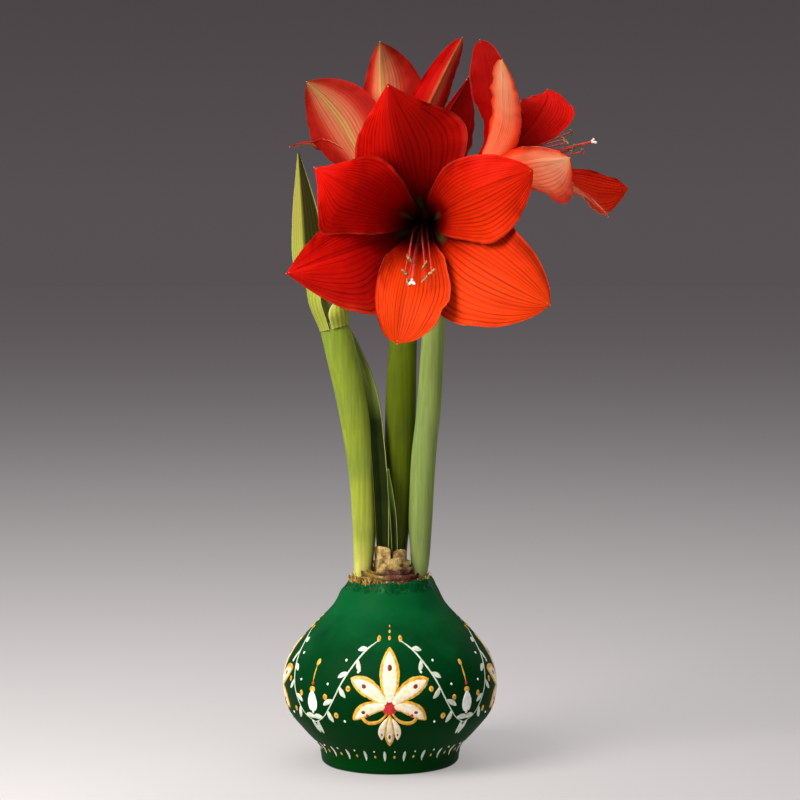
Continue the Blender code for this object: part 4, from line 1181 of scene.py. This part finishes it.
def make_bloom(key, surfaces):
    """Six tepals and their receptacle. Kinds: 0 inside, 1 outside, 2 pale point, 3 crimson in painted shade.
    """
    bloom = BLOOMS[key]
    shape = Shape()
    back, face = bloom.foot - bloom.half_length, bloom.foot + bloom.half_length
    swept(shape, lambda share: back.lerp(face, share), curve(RECEPTACLE_RADII), 12, 48,
          lambda angle, share: 1.0 + 0.03 * math.cos(6.0 * angle), kind=1)
    for index in range(TEPAL_COUNT):
        place = tepal_place(bloom, index)
        kinds = (3, 3) if index in bloom.red_outside else (1, 1) if index in bloom.pale_inside else (0, 1)
        thickened(shape, sheet_rows(place, TEPAL_ROWS, TEPAL_COLUMNS),
                  lambda share, across: TEPAL_THICKNESS * (1.0 - 0.55 * across * across),
                  kinds=kinds, relief=tepal_relief, lane=index)
        tip, before = place(1.0, 0.0), place(0.985, 0.0)
        end = tip + (tip - before).normalized() * 0.5
        swept(shape, lambda share: before.lerp(end, share),
              lambda share: POINT_RADII[0] + (POINT_RADII[1] - POINT_RADII[0]) * share, 6, 10, kind=2)
    shape.piece(f"bloom_{key}_tepals", surfaces, "tepal", f"bloom_{key}")


def tepal_tissue(name, stops, across_stops, painted_warm_light, vein_colour, star, shades=None):
    """Petal tissue: a velvety skin over fine dark veins that run from the foot to the tip.

    across_stops lay a second colour over the one along the tepal, from the midrib to the margin, with their
    own strength. The lower tepals are painted a warmer red as painted light. star greens the midribs in the
    throat.
    shades tints the six tepals in turn with painted shade, and half of one coral tepal redder: (count of
    tepals, tint), counted on across each from edge to edge.
    """
    look = Look(name, IOR=1.38, Roughness=0.55, Specular_IOR_Level=0.05, Subsurface_Weight=0.06,
                Subsurface_Scale=0.0012, Subsurface_Radius=(1.0, 0.05, 0.02))
    lay = look.lay()
    length, lane = look.split(lay)[:2]
    across = look.maths("FRACT", lane)
    far = look.maths("ABSOLUTE", look.maths("SUBTRACT", across, 0.5))
    share = look.maths("ADD", length, look.span(look.noise(13, 3.0), 0.0, 1.0, -0.07, 0.07))
    # Painted light: the lower tepals, which face the lamp, are warmed towards orange.
    low = look.span(look.split(look.place)["Z"], 345 * MM, 268 * MM, 0.0, 0.85)
    lit = look.product(low, look.span(share, 0.34, 0.6), look.span(lane, 2.9, 3.1))
    lit_warmed = look.mix(lit, look.ramp(share, stops), painted_warm_light)
    over_stops, strength = across_stops
    spread = look.mix(look.span(far, 0.0, 0.5, *strength), lit_warmed, look.ramp(far, over_stops))
    streak = look.add("ShaderNodeTexNoise", {
        "Vector": look.drawn(lay, (1.5, 74.0, 1.0)), "Scale": 1.0, "Detail": 2.0})
    comb = look.maths("SINE", look.product(across, 2.0 * TEPAL_VEINS * math.tau))
    vein = look.span(look.maths("MULTIPLY_ADD", comb, 0.12, streak), 0.48, 0.70, 0.0, 0.60)
    veined = look.mix(vein, spread, vein_colour)
    green = look.product(look.span(far, 0.03, 0.11, star, 0.0), look.span(length, 0.22, 0.34, 1.0, 0.0))
    colour = look.mix(green, veined, "#6A7436")
    # Painted shade, tepal by tepal, where neighbours and folds shade them.
    if shades:
        painted_shade_tints = [(count / TEPAL_COUNT, shade) for count, shade in shades]
        colour = look.tone(colour, look.ramp(look.span(lane, 0.0, TEPAL_COUNT), painted_shade_tints))
    ridges = look.bump(streak, 0.5, 0.3)
    return look.finish(Base_Color=colour, Normal=look.bump(look.noise(0.8, 2.0), 0.25, 0.1, over=ridges))


# Its shades are painted shade on the tepals and halves that their neighbours shade.
tepal_inside = tepal_tissue(
    "scarlet tepal, inside",
    [(0.0, "#35401A"), (0.12, "#120202"), (0.27, "#240202"), (0.40, "#7E0202"), (0.54, "#AC0401"),
     (0.75, "#CC0D02"), (1.0, "#D01004")],
    ([(0.0, "#8A0201"), (0.05, "#CC0E02"), (0.46, "#CC0E02"), (0.5, "#E8543A")], (0.12, 0.20)),
    painted_warm_light="#E2440C", vein_colour="#700000", star=0.8,
    shades=[(0.0, "#D4D4D4"), (0.55, "#D4D4D4"), (0.8, "#FFFFFF"), (2.45, "#FFFFFF"), (2.8, "#CCCCCC"),
            (3.0, "#CCCCCC"), (3.04, "#FFFFFF"), (4.78, "#FFFFFF"), (4.96, "#C4C4C4"), (5.02, "#FFFFFF")])
# Crimson on both sides: painted shade for tepals that hang in shade.
painted_shade_crimson = tepal_tissue(
    "crimson tepal, in shade",
    [(0.0, "#8E8A3A"), (0.14, "#7E0A04"), (0.40, "#860302"), (0.75, "#900402"), (1.0, "#9A0A04")],
    ([(0.0, "#7A0402"), (0.05, "#900402"), (0.46, "#900402"), (0.5, "#C84030")], (0.15, 0.40)),
    painted_warm_light="#900402", vein_colour="#560000", star=0.0)
# The coral outside in painted shade, duller, for the front and left blooms; its shades are further painted
# shade, with one redder half.
shaded_coral_outside = tepal_tissue(
    "coral tepal outside, painted shade",
    [(0.0, "#8E8A3A"), (0.14, "#CE4222"), (0.40, "#CE4222"), (0.70, "#C64E38"), (0.93, "#C67048"),
     (0.99, "#C8BC60")],
    ([(0.0, "#C2A85A"), (0.05, "#CC8254"), (0.17, "#D26E4E"), (0.27, "#C02A18"), (0.36, "#AC0402")],
     (0.8, 0.95)),
    painted_warm_light="#C8502C", vein_colour="#8E1C10", star=0.0,
    shades=[(0.0, "#D4D4D4"), (0.95, "#D4D4D4"), (1.02, "#FFFFFF"), (1.45, "#FFFFFF"), (1.6, "#DCDCDC"),
            (1.98, "#DCDCDC"), (2.02, "#FF5050"), (2.40, "#FF5050"), (2.5, "#F0A8A8"), (2.98, "#E8A0A0"),
            (3.02, "#E7E7E7")])
# The same coral outside in painted light, brighter and paler, for the right bloom.
lit_coral_outside = tepal_tissue(
    "coral tepal outside, painted light",
    [(0.0, "#9A8A3A"), (0.12, "#D42E0A"), (0.54, "#DA3A10"), (0.70, "#E68460"), (0.92, "#E49E78"),
     (1.0, "#C8BC62")],
    ([(0.0, "#E4A070"), (0.05, "#E89470"), (0.28, "#E2704A"), (0.38, "#DC3A1A"), (0.46, "#C41C06")],
     (0.25, 0.95)),
    painted_warm_light="#E0583A", vein_colour="#C03A20", star=0.0)
tepal_point = papery_tunic("pale tepal point", [(0.3, "#A87850"), (0.7, "#D8B88C")], gloss=0.5)
make_bloom("front", [tepal_inside, shaded_coral_outside, tepal_point, painted_shade_crimson])
make_bloom("left", [tepal_inside, shaded_coral_outside, tepal_point, painted_shade_crimson])
make_bloom("right", [tepal_inside, lit_coral_outside, tepal_point, painted_shade_crimson])

# The stamens and the pistil: six red filaments from a small ring in the tube, each with a pale anther
# held across its end, and one longer style that ends in a white stigma of three lobes.
RING_OUTER = 3.5
RING_HEIGHT = 1.8
FILAMENT_RADIUS = 0.6
FILAMENT_CIRCLE = 2.5
FILAMENT_ENDS = [(9.0, 4.5, -10.0), (5.0, 8.0, -13.0), (-3.0, 11.5, -11.0),
                 (-5.5, 4.0, -14.0), (-3.2, -1.5, -9.0), (5.0, 0.5, -12.0)]
ANTHER_HALF = 2.3
STYLE_RADIUS = 0.8
STYLE_FALL = 0.5


def style_controls(bloom, start):
    """The style's curve: out along the axis, then sagging, and up again to its end."""
    reach = bloom.axis * (bloom.stigma - bloom.foot).dot(bloom.axis)
    drop = bloom.stigma - bloom.foot - reach
    return start, bloom.foot + reach * 0.42, bloom.foot + reach * 0.72 + drop * STYLE_FALL, bloom.stigma


def make_anther(shape, end, across, ahead):
    """A curved pod of two halves with a groove between them, kind 1."""
    def centre(share):
        place = 2.0 * share - 1.0
        return end + across * ANTHER_HALF * place - ahead * 1.2 * place**2

    swept(shape, centre, lambda share: 0.78 * max(1.0 - (2.0 * share - 1.0) ** 4, 0.05) ** 0.5, 14, 14,
          lambda angle, share: 1.0 - 0.28 * abs(math.cos(angle)) ** 6, kind=1)


def make_stamens(key, surfaces):
    """Six bent filaments from a low ring, each with its anther."""
    bloom = BLOOMS[key]
    start, end = bloom.seat, bloom.seat + bloom.axis * RING_HEIGHT
    shape = Shape()
    swept(shape, lambda share: start.lerp(end, share), lambda share: RING_OUTER - 1.2 * share, 4, 24)
    style = style_controls(bloom, start.lerp(end, 0.5))
    for index, (sideways, up, forward) in enumerate(FILAMENT_ENDS):
        root = bloom.around(60 * index + 30) * FILAMENT_CIRCLE
        spread = bloom.level * sideways + bloom.upright * up + bloom.axis * forward
        controls = (style[0] + root, style[1] + root * 1.3, style[2] + (root + spread) * 0.6,
                    style[3] + spread)
        swept(shape, lambda share: bezier(controls, share),
              lambda share: FILAMENT_RADIUS * (1.15 - 0.5 * share), 28, 12)
        ahead = (controls[3] - controls[2]).normalized()
        across = bloom.level * math.cos(1.1 * index) + bloom.upright * 0.8
        make_anther(shape, controls[3], across.normalized(), ahead)
    shape.piece(f"stamens_{key}_cluster", surfaces, "stamen", f"stamens_{key}")


def make_pistil(key, surfaces):
    """The style and the three lobes of its stigma, kind 1."""
    bloom = BLOOMS[key]
    controls = style_controls(bloom, bloom.seat)
    shape = Shape()
    swept(shape, lambda share: bezier(controls, share),
          lambda share: STYLE_RADIUS * (1.1 - 0.2 * share), 40, 16)
    end = controls[3]
    ahead = (end - controls[2]).normalized()
    for index in range(3):
        spread = bloom.around(120 * index + 90)
        lobe = [end - ahead, end + ahead + spread * 0.8, end + ahead * 1.6 + spread * 1.9]
        swept(shape, curve(lobe),
              lambda share: 0.55 + 0.30 * math.sin(math.pi * share**1.5) - 0.15 * share, 14, 12, kind=1)
    shape.piece(f"pistil_{key}_style", surfaces, "stamen", f"pistil_{key}")


def soft_tissue(name, low, high, gloss, root=None):
    """Small fresh flower parts: a soft colour that drifts a little, darkened towards the root with painted
    shade if a root colour is given.
    """
    look = Look(name, IOR=1.4, Specular_IOR_Level=0.3, Roughness=gloss)
    drift = look.noise(1.2, 3.0)
    colour = look.ramp(drift, [(0.35, low), (0.65, high)])
    if root:
        colour = look.mix(look.span(look.split(look.lay())["X"], 0.55, 0.9, 1.0, 0.0), colour, root)
    return look.finish(Base_Color=colour, Normal=look.bump(drift, 0.4, 0.1))


# The filaments' dark root is painted shade deep in the throat.
filament_skin = soft_tissue("red filament, painted shade at its root", "#B8281C", "#DC5A48", 0.5, root="#4A0403")
anther_skin = soft_tissue("ripe anther", "#6A4426", "#B89E6C", 0.85)
stigma_skin = soft_tissue("white stigma", "#E9E2D2", "#FFFDF4", 0.6)
for bloom_key in BLOOMS:
    make_stamens(bloom_key, [filament_skin, anther_skin])
    make_pistil(bloom_key, [filament_skin, stigma_skin])

# The studio: a pale floor whose glow near the bulb is painted light that lifts the shadows, and which fades
# with distance into a mid-grey surround, a large soft light from the upper left, a weak fill from the right,
# and the camera that took the photograph.
CAMERA_PLACE = (5.66 * MM, -1600 * MM, 340 * MM)
CAMERA_PITCH = 4.835
CAMERA_LENS = 2872.0 / 800.0 * 36.0
FLOOR_RADIUS = 6.0
FLOOR_LEVEL = -0.05 * MM
FLOOR_LIT_SHARE = 0.56
FADE_LENGTH = 0.98
FADE_BEND = 0.9
FADE_CENTRE = (-0.2, -0.1, 0.0)
BACKDROP_LOW = "#575153"
BACKDROP_MIDDLE = "#565052"
BACKDROP_HIGH = "#4A4446"
# The floor's glow near the bulb: painted light that lifts the shadows.
FLOOR_PAINTED_GLOW = "#DCD8D8"


def make_floor():
    """A round floor of matt white paper that partly glows, painted light that lifts the shadows near the
    bulb, and fades with distance into the surround's grey.
    """
    mesh = bpy.data.meshes.new("studio_floor")
    work = bmesh.new()
    bmesh.ops.create_circle(work, cap_ends=True, segments=128, radius=FLOOR_RADIUS)
    for vertex in work.verts:
        vertex.co.z = FLOOR_LEVEL
    work.to_mesh(mesh)
    work.free()
    floor = bpy.data.objects.new("studio_floor", mesh)
    bpy.context.scene.collection.objects.link(floor)
    look = Look("matt white paper", Roughness=0.7, Base_Color="#E0DCDD")
    reach = look.add("ShaderNodeVectorMath", {0: look.place, 1: FADE_CENTRE}, outlet="Value",
                     operation="DISTANCE")
    bent = look.maths("POWER", look.maths("DIVIDE", reach, FADE_LENGTH), FADE_BEND)
    left = look.maths("EXPONENT", look.product(bent, -1.0))
    painted_glow = look.add("ShaderNodeEmission", {"Color": look.mix(left, BACKDROP_LOW, FLOOR_PAINTED_GLOW)})
    both = look.add("ShaderNodeMixShader", {
        0: look.product(left, FLOOR_LIT_SHARE), 1: painted_glow, 2: look.shader.outputs[0]})
    look.tree.links.new(both, look.tree.nodes["Material Output"].inputs["Surface"])
    mesh.materials.append(look.material)


def make_surround():
    """A plain surround: lighter low down, like the floor's far edge, and darker above."""
    world = bpy.data.worlds.new("studio_surround")
    world.use_nodes = True
    tree = world.node_tree
    place = add(tree, "ShaderNodeTexCoord").outputs["Generated"]
    height = add(tree, "ShaderNodeSeparateXYZ", {0: place}).outputs["Z"]
    level = add(tree, "ShaderNodeMapRange", {"Value": height, "From Min": -0.05, "From Max": 0.06})
    tint = add(tree, "ShaderNodeValToRGB", {"Fac": level.outputs[0]}, ramp=[
        (0.0, BACKDROP_LOW), (0.32, BACKDROP_MIDDLE), (1.0, BACKDROP_HIGH)])
    tree.links.new(tint.outputs["Color"], tree.nodes["Background"].inputs["Color"])
    bpy.context.scene.world = world


def soft_light(name, place, aim, size, power, colour="#FFFFFF"):
    """A rectangular soft light that looks at the height aim on the object's axis."""
    data = bpy.data.lights.new(name, "AREA")
    data.shape = "RECTANGLE"
    data.size, data.size_y = size
    data.energy = power
    data.color = linear(colour)[:3]
    light = bpy.data.objects.new(name, data)
    light.location = place
    light.rotation_euler = (Vector((0.0, 0.0, aim)) - Vector(place)).to_track_quat("-Z", "Y").to_euler()
    bpy.context.scene.collection.objects.link(light)


make_floor()
make_surround()
soft_light("key_light", (-1.15, -0.95, 1.20), 0.2, (1.1, 1.1), 50.0, "#FFFBF4")
soft_light("overhead_light", (0.1, -0.2, 2.2), 0.0, (2.6, 2.6), 34.0)
soft_light("fill_light", (1.3, -1.5, 0.7), 0.2, (1.2, 1.2), 3.5, "#F4F6FF")
soft_light("back_left_light", (-1.1, 1.2, 0.7), 0.2, (0.5, 1.0), 1.5)
soft_light("back_right_light", (1.1, 1.2, 0.7), 0.2, (0.5, 1.0), 2.0)
bpy.context.scene.view_settings.view_transform = "Standard"

camera = bpy.data.objects.new("camera", bpy.data.cameras.new("camera"))
camera.location = CAMERA_PLACE
camera.rotation_euler = (math.radians(90.0 - CAMERA_PITCH), 0.0, 0.0)
camera.data.lens = CAMERA_LENS
camera.data.sensor_width = 36.0
bpy.context.scene.collection.objects.link(camera)
bpy.context.scene.camera = camera

bpy.context.view_layer.update()
